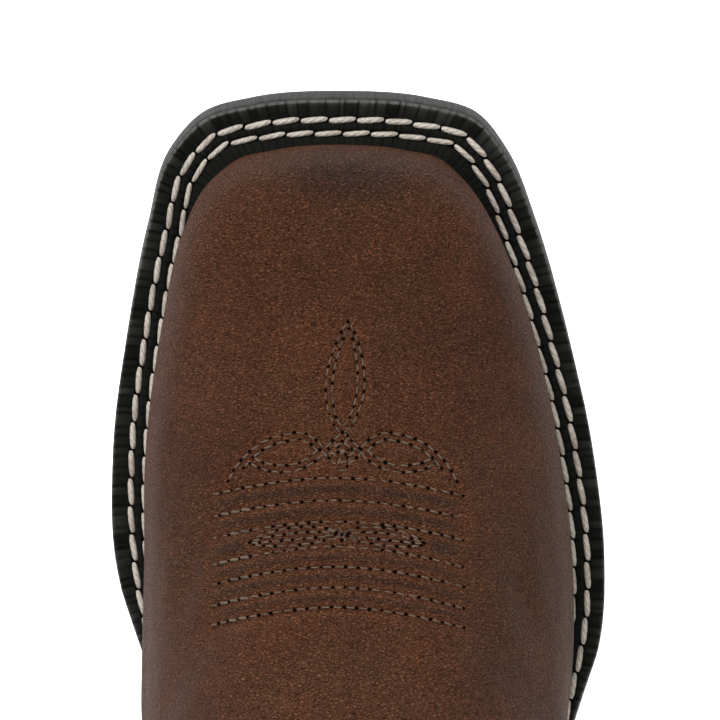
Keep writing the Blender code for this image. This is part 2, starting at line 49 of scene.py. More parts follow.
# The boot's own sizes
LENGTH = 0.308
HEEL_BACK = 0.036
BALL_WIDTH = 0.115
SHAFT_WIDTH = 0.106
WELT_LEDGE = 0.0125
CORNER_STEP = 0.02          # stretch of the outline over which the ledge is measured square
HEEL_HEIGHT = 0.034
TOE_SPRING = 0.011
INSTEP_HEIGHT = 0.100
BOOT_HEIGHT = 0.326
GAP = 0.0003
SOLE = 0.0070
WELT = 0.0038
WALL = 0.0022
OVERLAY = 0.0015
TOP_LIFT = 0.0080
HEEL_BREAST = 0.036
HEEL_TAPER = 0.0035
BREAST_SLANT = 0.003
STRAP_WIDTH = 0.025
STRAP = 0.0018
STRAP_RISE = 0.021
STRAP_LOOP = 0.0100
STRAP_OUTER_LEG = 0.052
STRAP_INNER_LEG = 0.040
STRAP_CLEAR = 0.001
GROOVE_PITCH = 0.0165
PLY_TURNS = 1.1             # turns of a ply along one of the welt's stitches
HEEL_SEAT = HEEL_HEIGHT + SOLE
LEG_HEIGHT = BOOT_HEIGHT - HEEL_SEAT - INSTEP_HEIGHT
UPPER_DEPTH = OVERLAY + GAP

# Plan of sole and upper, a row for each section from heel to toe. Stations are shares of LENGTH,
# the ledge is a share of WELT_LEDGE, and the other columns are shares of BALL_WIDTH.
PLAN_COLUMNS = ("station", "sole_in", "sole_out", "ledge", "upper_station", "upper_in", "upper_out")
PLAN = (
    (0.036, 0.217, 0.217, 0.36, 0.034, 0.191, 0.196),
    (0.101, 0.304, 0.309, 0.36, 0.094, 0.283, 0.287),
    (0.182, 0.309, 0.317, 0.38, 0.175, 0.304, 0.309),
    (0.312, 0.296, 0.317, 0.50, 0.305, 0.339, 0.357),
    (0.442, 0.317, 0.374, 0.56, 0.442, 0.387, 0.404),
    (0.536, 0.396, 0.461, 0.68, 0.539, 0.423, 0.421),
    (0.573, 0.437, 0.493, 0.74, 0.575, 0.424, 0.432),
    (0.646, 0.490, 0.506, 0.78, 0.649, 0.421, 0.431),
    (0.719, 0.496, 0.487, 0.80, 0.722, 0.419, 0.408),
    (0.829, 0.463, 0.426, 0.82, 0.828, 0.381, 0.344),
    (0.902, 0.424, 0.369, 0.87, 0.890, 0.341, 0.279),
    (0.957, 0.379, 0.308, 1.05, 0.925, 0.285, 0.214),
    (0.984, 0.312, 0.247, 1.11, 0.941, 0.218, 0.152),
    (0.9955, 0.209, 0.143, 1.08, 0.947, 0.136, 0.075),
)
HEEL_TIP = (0.000, 0.0, 0.36, 0.0016, 0.0)
TOE_TIP = (1.000, -0.0365, 1.05, 0.950, -0.035)

# Profile of the underside: heel is a share of HEEL_HEIGHT and spring one of TOE_SPRING.
PROFILE_COLUMNS = ("station", "heel", "spring")
PROFILE = (
    (0.00, 1.00, 0.00),
    (0.12, 0.985, 0.00),
    (0.22, 0.95, 0.00),
    (0.32, 0.79, 0.00),
    (0.42, 0.46, 0.00),
    (0.50, 0.19, 0.00),
    (0.57, 0.045, 0.00),
    (0.62, 0.00, 0.00),
    (0.76, 0.00, 0.00),
    (0.84, 0.00, 0.16),
    (0.92, 0.00, 0.50),
    (1.00, 0.00, 1.00),
)

# Rings of the upper from feather line to collar, in the same shares as the construction's.
RING_COLUMNS = (
    "fill", "back", "front", "width", "half", "round_front", "round_back", "follow",
    "rise_back", "rise_side", "rise_front", "climb_back", "climb_side", "climb_front",
)
RINGS = (
    (0.00, 0.0146, 0.9550, 1.00, 0.45, 0.00, 0.00, 1.00, 0.00, 0.00, 0.00, 0.00, 0.00, 0.00),
    (0.50, 0.0060, 0.9558, 1.00, 0.45, 0.00, 0.00, 1.00, 0.11, 0.10, 0.10, 0.00, 0.00, 0.00),
    (1.00, 0.0016, 0.9487, 1.00, 0.45, 0.00, 0.00, 1.00, 0.25, 0.22, 0.22, 0.00, 0.00, 0.00),
    (1.00, 0.0020, 0.9270, 0.97, 0.43, 0.16, 0.00, 1.00, 0.39, 0.335, 0.32, 0.00, 0.00, 0.00),
    (1.00, 0.0080, 0.8670, 0.95, 0.41, 0.52, 0.00, 1.00, 0.55, 0.44, 0.40, 0.00, 0.00, 0.00),
    (1.00, 0.0150, 0.7820, 0.93, 0.395, 0.95, 0.08, 1.00, 0.72, 0.56, 0.50, 0.00, 0.00, 0.00),
    (1.00, 0.0200, 0.6880, 0.92, 0.385, 1.00, 0.18, 1.00, 0.89, 0.69, 0.61, 0.00, 0.00, 0.00),
    (1.00, 0.0220, 0.6040, 0.92, 0.380, 1.00, 0.32, 0.90, 1.00, 0.81, 0.70, 0.03, 0.00, 0.00),
    (1.00, 0.0200, 0.5260, 0.92, 0.382, 1.00, 0.50, 0.75, 1.00, 0.94, 0.80, 0.11, 0.00, 0.00),
    (1.00, 0.0120, 0.4610, 0.92, 0.393, 1.00, 0.70, 0.50, 1.00, 1.00, 0.92, 0.20, 0.05, 0.00),
    (1.00, -0.0020, 0.4110, 0.92, 0.415, 1.00, 0.88, 0.20, 1.00, 1.00, 1.00, 0.31, 0.16, 0.05),
    (1.00, -0.0230, 0.3830, 0.92, 0.449, 1.00, 1.00, 0.00, 1.00, 1.00, 1.00, 0.45, 0.36, 0.23),
    (1.00, -0.0480, 0.3720, 0.92, 0.480, 1.00, 1.00, 0.00, 1.00, 1.00, 1.00, 0.63, 0.67, 0.51),
    (1.00, -0.0680, 0.3720, 0.92, 0.500, 1.00, 1.00, 0.00, 1.00, 1.00, 1.00, 0.80, 1.00, 0.79),
)
VAMP_START = 0.12
VAMP_HEIGHT = 8.0
VAMP_PEAK = 8.9
SEAM_HEIGHT = 3.6
COUNTER_PEAK = 4.9
SEAM = 0.147
LAST_RING = len(RINGS) - 1


def columns(names, rows):
    """A table as arrays under its column names."""
    return dict(zip(names, np.array(rows).T))


PLAN_TABLE = columns(PLAN_COLUMNS, PLAN)
PROFILE_TABLE = columns(PROFILE_COLUMNS, PROFILE)
RING_TABLE = columns(RING_COLUMNS, RINGS)


def cubic(share, step, low, high, leave, arrive):
    """A cubic at a share of a step, from the values and the slopes at its two ends."""
    rest = 1 - share
    levels = (1 + 2 * share) * rest ** 2 * low + share ** 2 * (3 - 2 * share) * high
    return levels + share * rest ** 2 * step * leave - share ** 2 * rest * step * arrive


def hermite(knots, values, slopes, where):
    """Cubics through values at knots, with the slopes there."""
    index = np.clip(np.searchsorted(knots, where, side="right") - 1, 0, len(knots) - 2)
    step = knots[index + 1] - knots[index]
    shape = step.shape + (1,) * (values.ndim - 1)
    share = ((where - knots[index]) / step).reshape(shape)
    ends = [table[end] for table in (values, slopes) for end in (index, index + 1)]
    return cubic(share, step.reshape(shape), *ends)


def level_slopes(knots, values):
    """Slopes as the harmonic mean of the two chords beside a knot, or none where they turn."""
    chord = np.diff(values) / np.diff(knots)
    product = chord[:-1] * chord[1:]
    total = np.where(product > 0, chord[:-1] + chord[1:], 1.0)
    middle = np.where(product > 0, 2 * product / total, 0.0)
    return np.concatenate((chord[:1], middle, chord[-1:]))


def underside(y):
    """Height of the outsole's underside at a distance y from the origin."""
    station = np.clip((np.asarray(y) + HEEL_BACK) / LENGTH, 0.0, 1.0)
    knots = PROFILE_TABLE["station"]
    heel, spring = (
        hermite(knots, shares, level_slopes(knots, shares), station)
        for shares in (PROFILE_TABLE["heel"], PROFILE_TABLE["spring"])
    )
    return HEEL_HEIGHT * heel + TOE_SPRING * spring


def seat(y):
    """Height of the outsole's top."""
    return underside(y) + SOLE


def stack(plan, height):
    """Points a height above the underside, measured square to its slope along the boot."""
    step = 0.5 * MM
    slope = (underside(plan[..., 1] + step) - underside(plan[..., 1] - step)) / (2 * step)
    lean = 1 / np.sqrt(1 + slope ** 2)
    y = plan[..., 1] - height * slope * lean
    z = underside(plan[..., 1]) + height * lean
    return np.stack((plan[..., 0], y, z), axis=-1)


def round_trip(tip_back, inner, tip_front, outer):
    """Values once round the boot: heel tip, inner rows, toe tip, outer rows backwards."""
    return np.concatenate(([tip_back], inner, [tip_front], outer[::-1]))


def plan_points(prefix, side, tip):
    """The plan table's points of one outline, in order round the boot."""
    stations = PLAN_TABLE[prefix + "station"]
    along = round_trip(HEEL_TIP[tip], stations, TOE_TIP[tip], stations)
    inner, outer = (PLAN_TABLE[side + way] for way in ("_in", "_out"))
    across = round_trip(HEEL_TIP[tip + 1], -inner, TOE_TIP[tip + 1], outer)
    return np.column_stack((across * BALL_WIDTH, along * LENGTH - HEEL_BACK))


SOLE_POINTS = plan_points("", "sole", 0)
UPPER_POINTS = plan_points("upper_", "upper", 3)
LEDGES = round_trip(HEEL_TIP[2], PLAN_TABLE["ledge"], TOE_TIP[2], PLAN_TABLE["ledge"])[:, None] * WELT_LEDGE


def outline_knots():
    """Shares of the way round of the table's points, the same on both sides."""
    steps = np.linalg.norm(np.diff(np.concatenate((SOLE_POINTS, SOLE_POINTS[:1])), axis=0), axis=1)
    distance = np.concatenate(([0.0], np.cumsum((steps + steps[::-1]) / 2)))
    return distance / distance[-1]


OUTLINE_KNOTS = outline_knots()


def closed_curve(points, u):
    """Closed cubic through points, with each slope from the parabola through its neighbours."""
    knots = OUTLINE_KNOTS
    around = np.concatenate((points[-1:], points, points[:2]))
    spread = np.concatenate(([knots[-2] - 1.0], knots, [1.0 + knots[1]]))
    widths = np.diff(spread)[:, None]
    chord = np.diff(around, axis=0) / widths
    slopes = (chord[:-1] * widths[1:] + chord[1:] * widths[:-1]) / (widths[:-1] + widths[1:])
    return hermite(knots, around[1:-1], slopes, np.mod(u, 1.0))


def sole_outline(u):
    """Edge of the outsole, seen from above."""
    return closed_curve(SOLE_POINTS, u)


def upper_outline(u):
    """Widest line of the upper, seen from above."""
    return closed_curve(UPPER_POINTS, u)


def outward(curve, u, step=1e-4):
    """Unit vectors square to a plan curve over a step of it, pointing away from the boot."""
    run = curve(u + step) - curve(u - step)
    run = run / np.linalg.norm(run, axis=1)[:, None]
    return np.column_stack((-run[:, 1], run[:, 0]))


def feather_outline(u):
    """Line where the upper meets the sole: the sole's edge moved in by the ledge."""
    return sole_outline(u) - outward(sole_outline, u, CORNER_STEP) * closed_curve(LEDGES, u)


def between(sizes, u):
    """A ring's value with its own sizes at heel, sides and toe, weighed by squared cosines."""
    back, side, front = sizes
    turn = np.cos(2 * math.pi * u)
    return side + (back - side) * np.maximum(turn, 0.0) ** 2 + (front - side) * np.maximum(-turn, 0.0) ** 2


def ring(row, u):
    """One ring: the foot's outline, stretched, shaded into an ellipse and lifted."""
    size = {name: values[row] for name, values in RING_TABLE.items()}

    def filled(where):
        return feather_outline(where) * (1 - size["fill"]) + upper_outline(where) * size["fill"]

    def raised(way, height):
        return between([size[way + end] for end in ("_back", "_side", "_front")], u) * height

    foot = filled(u)
    start, finish = filled(np.array([0.0, 0.5]))[:, 1]
    back = size["back"] * LENGTH - HEEL_BACK
    front = size["front"] * LENGTH - HEEL_BACK
    foot_x = foot[:, 0] * size["width"]
    foot_y = back + (foot[:, 1] - start) * (front - back) / (finish - start)
    angle = 2 * math.pi * u
    tube_x = -np.sin(angle) * size["half"] * SHAFT_WIDTH
    tube_y = (front + back) / 2 - np.cos(angle) * (front - back) / 2
    toward_front = 0.5 - 0.5 * np.cos(angle)
    rounded = size["round_back"] + (size["round_front"] - size["round_back"]) * toward_front
    x = foot_x + (tube_x - foot_x) * rounded
    y = foot_y + (tube_y - foot_y) * rounded
    base = seat(y) * size["follow"] + HEEL_SEAT * (1 - size["follow"]) + GAP
    return np.column_stack((x, y, base + raised("rise", INSTEP_HEIGHT) + raised("climb", LEG_HEIGHT)))


def surface(u, v):
    """Upper's surface on a grid: u has one value a column, v one for each point of a column."""
    rings = np.stack([ring(row, u) for row in range(len(RINGS))])
    slopes = np.gradient(rings, axis=0)
    v = np.clip(v, 0.0, LAST_RING)
    low = np.clip(v.astype(int), 0, LAST_RING - 1)
    column = np.arange(len(u))[:, None]
    ends = [table[level, column] for table in (rings, slopes) for level in (low, low + 1)]
    return cubic((v - low)[..., None], 1.0, *ends)


def skin_normal(u, v):
    """Unit normals of the upper's surface, levelled off towards its bottom edge."""
    step = 1e-3
    along = surface(u + step, v) - surface(u - step, v)
    normal = np.cross(surface(u, v + step) - surface(u, v - step), along)
    normal[..., 2] *= np.clip(v / 2.0, 0.0, 1.0)
    return unit(normal)


def layer(u, v, depth):
    """Points a depth under the surface; depth may be a number or a value for each point."""
    depth = np.broadcast_to(depth, v.shape)[..., None]
    return surface(u, v) - skin_normal(u, v) * depth


def overlay_line(u):
    """Upper edge of vamp and heel counter, in rings."""
    turn = np.cos(2 * math.pi * u)
    forward = (1 - turn) / 2
    share = np.clip((forward - VAMP_START) / (1 - VAMP_START), 0.0, 1.0)
    sweep = share ** 2 * (3 - 2 * share)
    counter = np.maximum(turn, 0.0) ** 2
    return (
        SEAM_HEIGHT
        + (VAMP_HEIGHT - SEAM_HEIGHT) * sweep
        + (VAMP_PEAK - VAMP_HEIGHT) * forward ** 10
        + (COUNTER_PEAK - SEAM_HEIGHT) * counter
    )


# Mesh building

def unit(vectors):
    """Vectors scaled to length one."""
    return vectors / np.linalg.norm(vectors, axis=-1)[..., None]


def travelled(path):
    """Distance along a path of points, starting at nought."""
    return np.concatenate(([0.0], np.cumsum(np.linalg.norm(np.diff(path, axis=0), axis=1))))


def bell(distance, width):
    """One at a line, falling off smoothly over a width."""
    return np.exp(-(distance / width) ** 2)


def ramp(value):
    """A value kept between nought and one."""
    return np.clip(value, 0.0, 1.0)


def grid_quads(rows, cols, close_rows=False, close_cols=False):
    """Faces of a grid of points, joined end to end where a direction closes."""
    index = np.arange(rows * cols).reshape(rows, cols)
    if close_rows:
        index = np.vstack((index, index[:1]))
    if close_cols:
        index = np.column_stack((index, index[:, 0]))
    corners = (index[:-1, :-1], index[1:, :-1], index[1:, 1:], index[:-1, 1:])
    return np.stack(corners, axis=-1).reshape(-1, 4)


def turned_out(points, quads):
    """The faces, reversed if the volume that they enclose comes out negative."""
    away = points - points.mean(axis=0)
    a, b, c, d = (away[quads[:, corner]] for corner in range(4))
    volume = np.einsum("ij,ij->i", a, np.cross(b, c) + np.cross(c, d)).sum()
    return quads if volume > 0 else quads[:, ::-1]


def placed(name, data):
    """A new object in the scene."""
    made = bpy.data.objects.new(name, data)
    bpy.context.scene.collection.objects.link(made)
    return made


def make_piece(name, points, quads, finish, slot, replaces=(), uv=None, marks=None, merge=False):
    """A mesh object from arrays, with its material, attributes and body; its slot is not used."""
    points = points.reshape(-1, 3)
    quads = turned_out(points, quads)
    mesh = bpy.data.meshes.new(name)
    mesh.vertices.add(len(points))
    mesh.vertices.foreach_set("co", points.astype(np.float32).ravel())
    mesh.loops.add(quads.size)
    mesh.loops.foreach_set("vertex_index", quads.astype(np.int32).ravel())
    mesh.polygons.add(len(quads))
    mesh.polygons.foreach_set("loop_start", np.arange(0, quads.size, 4, dtype=np.int32))
    mesh.update(calc_edges=True)
    if uv is not None:
        layer_uv = mesh.uv_layers.new(name="run")
        layer_uv.data.foreach_set("uv", uv.reshape(-1, 2)[quads.ravel()].astype(np.float32).ravel())
    for label, values in (marks or {}).items():
        attribute = mesh.attributes.new(label, "FLOAT", "POINT")
        attribute.data.foreach_set("value", values.astype(np.float32).ravel())
    if merge:
        work = bmesh.new()
        work.from_mesh(mesh)
        bmesh.ops.remove_doubles(work, verts=work.verts, dist=1e-7)
        work.to_mesh(mesh)
        work.free()
    mesh.shade_smooth()
    mesh.materials.append(finish)
    piece = placed(name, mesh)
    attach(piece, "root")
    if replaces:
        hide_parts(*replaces)
    return piece


def make_tube(name, grid, finish, slot, replaces=(), merge=True, **extras):
    """A piece from rows of points, each of them closed."""
    quads = grid_quads(*grid.shape[:2], close_cols=True)
    return make_piece(name, grid, quads, finish, slot, replaces, merge=merge, **extras)


def make_wall(name, outer, inner, finish, slot, replaces=(), closed=True):
    """A piece between an outer and an inner grid of points, with rims where they end."""
    columns_count, levels = outer.shape[:2]
    total = columns_count * levels
    faces = grid_quads(columns_count, levels, close_rows=closed)
    quads = [faces, faces[:, ::-1] + total]
    index = np.arange(total).reshape(columns_count, levels)
    if closed:
        index = np.vstack((index, index[:1]))
    edges = [index[:, 0], index[::-1, -1]]
    if not closed:
        edges += [index[0, ::-1], index[-1]]
    for edge in edges:
        quads.append(np.stack((edge[1:], edge[:-1], edge[:-1] + total, edge[1:] + total), axis=-1))
    return make_piece(name, np.stack((outer, inner)), np.concatenate(quads), finish, slot, replaces)


def spaced(path, ups, pitch):
    """Places, directions and normals at an even pitch along a path."""
    run = travelled(path)
    count = max(1, int(round(run[-1] / pitch)))
    at = (np.arange(count) + 0.5) * run[-1] / count

    def sample(values, shift=0.0):
        return np.column_stack([np.interp(at + shift, run, values[:, axis]) for axis in range(3)])

    reach = 0.25 * pitch
    return sample(path), unit(sample(path, reach) - sample(path, -reach)), unit(sample(ups))


def stitch_row(where, size, rows=7, cols=8, plies=0.0, slant=0.0, dip=0.0):
    """Threads as points: ovals swept along short bows whose ends dive into the leather.

    Each has a place, a direction and a normal, and a size of length, width and height. The oval
    keeps its size for most of the length, and plies raise strands round it.
    """
    length, width, height = size
    centre, along, up = (values[:, None, None, :] for values in where)
    across = np.cross(along, up)
    a = np.linspace(0.0, 1.0, rows)[None, :, None, None]
    phi = np.linspace(0.0, 2 * math.pi, cols, endpoint=False)[None, None, :, None]
    swell = np.maximum(1 - np.abs(2 * a - 1) ** 3.2, 0.0) ** 0.45
    strand = 1 + plies * np.abs(np.cos(1.5 * (phi - 2 * math.pi * PLY_TURNS * a)))
    shift = (a - 0.5) * length
    points = centre + along * shift + across * shift * slant - up * dip * np.abs(2 * a - 1) ** 3
    return points + (across * np.cos(phi) * width / 2 + up * np.sin(phi) * height / 2) * swell * strand


def add_stitches(name, points, finish, slot):
    """One joined mesh from an array of threads, each closed at both ends."""
    count, rows, cols = points.shape[:3]
    one = grid_quads(rows, cols, close_cols=True)
    quads = (one[None] + (np.arange(count) * rows * cols)[:, None, None]).reshape(-1, 4)
    run, turn = np.meshgrid(np.linspace(0, 1, rows), np.arange(cols) / cols, indexing="ij")
    uv = np.tile(np.stack((run, turn), axis=-1), (count, 1, 1, 1))
    return make_piece(name, points, quads, finish, slot, uv=uv, merge=True)


# Shader building

class Wire:
    """A node's output that can stand in a sum or a product."""

    def __init__(self, paint, socket):
        self.paint = paint
        self.socket = socket

    def __add__(self, other):
        return self.paint.math("ADD", self, other)

    def __sub__(self, other):
        return self.paint.math("SUBTRACT", self, other)

    def __rsub__(self, other):
        return self.paint.math("SUBTRACT", other, self)

    def __mul__(self, other):
        return self.paint.math("MULTIPLY", self, other)

    __radd__ = __add__
    __rmul__ = __mul__


class Paint:
    """A material under construction."""

    def __init__(self, name, roughness=0.5, **sockets):
        self.material = bpy.data.materials.new(name)
        self.material.use_nodes = True
        self.tree = self.material.node_tree
        self.shader = self.tree.nodes["Principled BSDF"]
        self.set(self.shader, {"Roughness": roughness})
        names = {socket.name.lower().replace(" ", "_"): socket.name for socket in self.shader.inputs}
        self.set(self.shader, {names[label]: value for label, value in sockets.items()})

    def set(self, node, values):
        """Put values or links on a node's sockets, found by name or number."""
        for label, value in values.items():
            socket = node.inputs[label]
            if isinstance(value, Wire):
                self.tree.links.new(value.socket, socket)
            elif isinstance(value, tuple) and socket.type == "RGBA":
                socket.default_value = (*value, 1.0)
            else:
                socket.default_value = value

    def node(self, kind, settings=None, values=None, output=0):
        """Any node: its kind, its settings and the values or links of its sockets."""
        made = self.tree.nodes.new("ShaderNode" + kind)
        for label, value in (settings or {}).items():
            setattr(made, label, value)
        self.set(made, values or {})
        return Wire(self, made.outputs[output])

    def object_place(self):
        """Coordinates in metres."""
        return self.node("TexCoord", output=3)

    def math(self, operation, a, b=0.0, clamp=False):
        """Two values joined by an operation."""
        return self.node("Math", {"operation": operation, "use_clamp": clamp}, {0: a, 1: b})

    def blend(self, factor, a, b):
        """Colour a shaded into colour b."""
        settings = {"data_type": "RGBA", "clamp_factor": True}
        return self.node("Mix", settings, {0: factor, 6: a, 7: b}, output=2)

    def stretched(self, place, scale, turn=0.0):
        """Coordinates turned about Z and scaled."""
        values = {"Vector": place, "Scale": scale, "Rotation": (0.0, 0.0, turn)}
        return self.node("Mapping", None, values)

    def noise(self, size, detail=3.0, rough=0.6, place=None, output=0):
        """Noise whose blotches are about a size across, in metres."""
        values = {"Scale": 1 / size, "Detail": detail, "Roughness": rough}
        values["Vector"] = place or self.object_place()
        return self.node("TexNoise", None, values, output)

    def cells(self, size, feature="F1", place=None):
        """Distances of a Voronoi pattern with cells of a size, in metres."""
        values = {"Vector": place or self.object_place(), "Scale": 1 / size}
        return self.node("TexVoronoi", {"feature": feature}, values)

    def mark(self, label):
        """A value that the piece holds at each point."""
        return self.node("Attribute", {"attribute_name": label}, output=2)

    def run(self):
        """Coordinates along and round a piece."""
        return self.node("UVMap", {"uv_map": "run"})

    def step(self, value, low, high):
        """Nought below low, one above high, smooth between."""
        settings = {"interpolation_type": "SMOOTHSTEP"}
        return self.node("MapRange", settings, {0: value, 1: low, 2: high, 3: 0.0, 4: 1.0})

    def over(self, colour, tone, cover, low, high, share=1.0):
        """A tone laid on a colour where a pattern climbs from low to high."""
        return self.blend(self.step(cover, low, high) * share, colour, tone)

    def finish(self, colour, roughness=None, height=None, distance=0.0, strength=1.0):
        """Join the pattern to the shader, with a height for its bumps."""
        self.set(self.shader, {"Base Color": colour})
        if roughness is not None:
            self.set(self.shader, {"Roughness": roughness})
        if height is not None:
            values = {"Height": height, "Distance": distance, "Strength": strength}
            self.set(self.shader, {"Normal": self.node("Bump", None, values)})
        return self.material


def toned(colour, *shares):
    """A colour with its parts multiplied by one share, or by one each."""
    return tuple(part * share for part, share in zip(colour, shares * (3 // len(shares))))


def oiled_leather(name, deep, middle, warm, toe=False):
    """Dark oiled leather: fine creased pebble with painted shade in its creases and painted highlight on its
    flecks, cloudy pull-up colour, soft gloss.
    """
    paint = Paint(name, specular_ior_level=0.028)
    patch = paint.noise(0.015, 5.0, 0.62)
    colour = paint.over(deep, middle, paint.noise(0.055, 4.0, 0.55), 0.36, 0.64)
    colour = paint.over(colour, warm, patch, 0.42, 0.72, 0.6)
    colour = paint.over(colour, toned(middle, 0.95, 1.16, 1.12), paint.noise(0.022), 0.46, 0.66, 0.7)
    push = paint.noise(0.0016, 2.0, 0.5, output=1)
    values = {0: push, 1: (0.0009, 0.0009, 0.0009), 2: paint.object_place()}
    bent = paint.node("VectorMath", {"operation": "MULTIPLY_ADD"}, values)
    slanted = paint.stretched(bent, (1.0, 1.9, 1.0), 0.42)
    crease = 1 - paint.step(paint.cells(0.00105, "DISTANCE_TO_EDGE", slanted), 0.02, 0.24)
    wrinkle = paint.noise(0.00092, 3.0, 0.68, slanted)
    fleck = paint.noise(0.00066, 2.0, 0.6, slanted)
    if toe:
        grey = (0.0215, 0.0125, 0.0095)
        # Painted shade: a darker grey patch on the top of the toe, clouded by the patch noise.
        toe_top_shade = paint.math("MULTIPLY", paint.mark("toe_top_shade"), 0.55 + patch, clamp=True)
        for factor, tone in (
            # Painted highlight: a lighter, warmer tone low on the vamp's sides, where the side lights fall.
            (paint.mark("edge_warmth") * 0.45, toned(warm, 1.1)),
            (toe_top_shade, grey),
            # Painted shade: the tops of the puffs between the wrinkle rows turn darker grey.
            (paint.mark("puff_top_shade") * 0.85, grey),
            # Painted highlight: a lighter, warmer band on the leather beside each line of thread.
            (paint.mark("near_thread") * 0.45, toned(warm, 1.15)),
            # Painted shade: darker leather right along each line of thread, in its stitch channel.
            (paint.mark("trough") * 0.35, toned(deep, 0.5)),
        ):
            colour = paint.blend(factor, colour, tone)
    # Painted shade and highlight on the grain: its creases and low wrinkles are darkened in colour, and its
    # flecks, raised in the bump, are painted lighter.
    dark = toned(deep, 0.20)
    colour = paint.blend(crease * 0.55, colour, dark)
    colour = paint.blend((1 - paint.step(wrinkle, 0.36, 0.50)) * 0.78, colour, dark)
    colour = paint.over(colour, toned(warm, 1.48, 1.68, 1.80), fleck, 0.50, 0.74, 0.46)
    rough = 0.46 + patch * 0.14 + crease * 0.12
    return paint.finish(colour, rough, wrinkle * 1.5 - crease * 0.7 + fleck * 0.35, 0.00060)


def smooth_leather(name, colour, dark, roughness=0.55):
    """Vegetable-tanned leather with pores and a few darker clouds."""
    paint = Paint(name, specular_ior_level=0.35)
    cloud = paint.noise(0.030, 4.0)
    pores = paint.cells(0.0012)
    tint = paint.over(dark, paint.over(colour, dark, cloud, 0.35, 0.7), pores, 0.0, 0.35)
    return paint.finish(tint, roughness - 0.08 + cloud * 0.16, pores, 0.00012, 0.6)


def welt_black():
    """Black welt: grey where its ribs and its rim are rubbed and carry a painted sheen, waxed between the
    seams.
    """
    paint = Paint("welt_black", specular_ior_level=0.008)
    dust = paint.noise(0.004, 4.0)
    grit = paint.noise(0.0006, 2.0)
    # The grey is partly rubbed wear and partly a painted sheen on the rim and the tops of the ribs.
    wear_and_sheen = paint.math("MULTIPLY", paint.mark("wear_and_sheen"), 0.35 + dust * 1.1, clamp=True)
    colour = paint.blend(wear_and_sheen, (0.0010, 0.0010, 0.0009), (0.046, 0.045, 0.041))
    colour = paint.over(colour, (0.11, 0.108, 0.10), grit, 0.58, 0.8, wear_and_sheen * 0.35)
    return paint.finish(colour, 0.50 + dust * 0.25, grit + dust * 2.0, 0.00016, 0.7)


def edge_rubber():
    """Grey-black rubber with fine marks from trimming along its edge."""
    paint = Paint("edge_rubber", specular_ior_level=0.05)
    marks = paint.noise(0.0007, place=paint.stretched(paint.run(), (1.0, 0.06, 1.0)))
    dust = paint.noise(0.006, 5.0, 0.65)
    colour = paint.over((0.0070, 0.0073, 0.0070), (0.0160, 0.0164, 0.0158), marks, 0.35, 0.7)
    colour = paint.over(colour, (0.032, 0.0315, 0.030), dust, 0.5, 0.75, 0.30)
    return paint.finish(colour, 0.50 + dust * 0.2, marks, 0.00018, 0.8)


def heel_stack_black():
    """Black waxed leather lifts with a dark line at each joint."""
    paint = Paint("heel_stack_black", specular_ior_level=0.15, coat_weight=0.04, coat_roughness=0.25)
    grain = paint.noise(0.006, 4.0, place=paint.stretched(paint.object_place(), (1.0, 1.0, 9.0)))
    colour = paint.over((0.0050, 0.0045, 0.0042), (0.0125, 0.0113, 0.0104), grain, 0.35, 0.7)
    colour = paint.blend(paint.mark("joint") * 0.8, colour, (0.0015, 0.0015, 0.0015))
    return paint.finish(colour, 0.33 + paint.noise(0.010, 4.0) * 0.2, grain, 0.0001, 0.5)


def thread(name, pale, tan, roughness=0.6, plied=False, sheen=0.3):
    """Waxed thread with fine fibres, a stain here and there and painted shade in dark lines between its
    plies.
    """
    paint = Paint(name, roughness, specular_ior_level=sheen)
    height = paint.noise(0.00040)
    shade = toned(tan, 0.40)
    colour = paint.over(pale, tan, paint.noise(0.006), 0.42, 0.72)
    colour = paint.over(colour, shade, height, 0.46, 0.70, 0.60)
    if plied:
        parts = {0: paint.run()}
        along, across = (paint.node("SeparateXYZ", None, parts, part) for part in (0, 1))
        ply = paint.math("ABSOLUTE", paint.math("SINE", (across - along * PLY_TURNS) * (3 * math.pi)))
        # Painted shade in the grooves between the plies.
        colour = paint.blend((1 - paint.step(ply, 0.05, 0.45)) * 0.55, colour, shade)
        height = height * 0.5 + ply * 0.8
    return paint.finish(colour, None, height, 0.00020, 0.8)


def plain_rubber(name, colour, pale):
    """Moulded rubber with a dusty bloom."""
    paint = Paint(name, specular_ior_level=0.12)
    dust = paint.noise(0.008, 5.0, 0.65)
    tint = paint.over(colour, pale, dust, 0.4, 0.8, 0.6)
    return paint.finish(tint, 0.55 + dust * 0.2, paint.noise(0.0009, 2.0, 0.5), 0.0001, 0.6)


def painted_hole_shade(name, colour):
    """A dull dark finish for needle holes: painted shade inside each hole."""
    return Paint(name, 0.9, specular_ior_level=0.0).finish(colour)


# Stitching of the vamp, in millimetres from the flower's middle

FLOWER = np.array((-2.9, 188.7)) * MM
ROW_CENTRE = -4.2 * MM
ROW_HALF = 28.0 * MM
# The wrinkle rows: how far each lies behind the flower's middle, and how far its ends drop back.
WRINKLE_ROWS = (
    (5.8, 4.1),
    (10.7, 4.05),
    (15.3, 4.2),
    (20.7, 4.65),
    (25.0, 4.6),
    (29.4, 4.8),
    (33.6, 4.7),
)
BRAID_BACK = 18.0 * MM
BRAID_HALF = 20.0 * MM
BRAID_DROP = 2.2 * MM
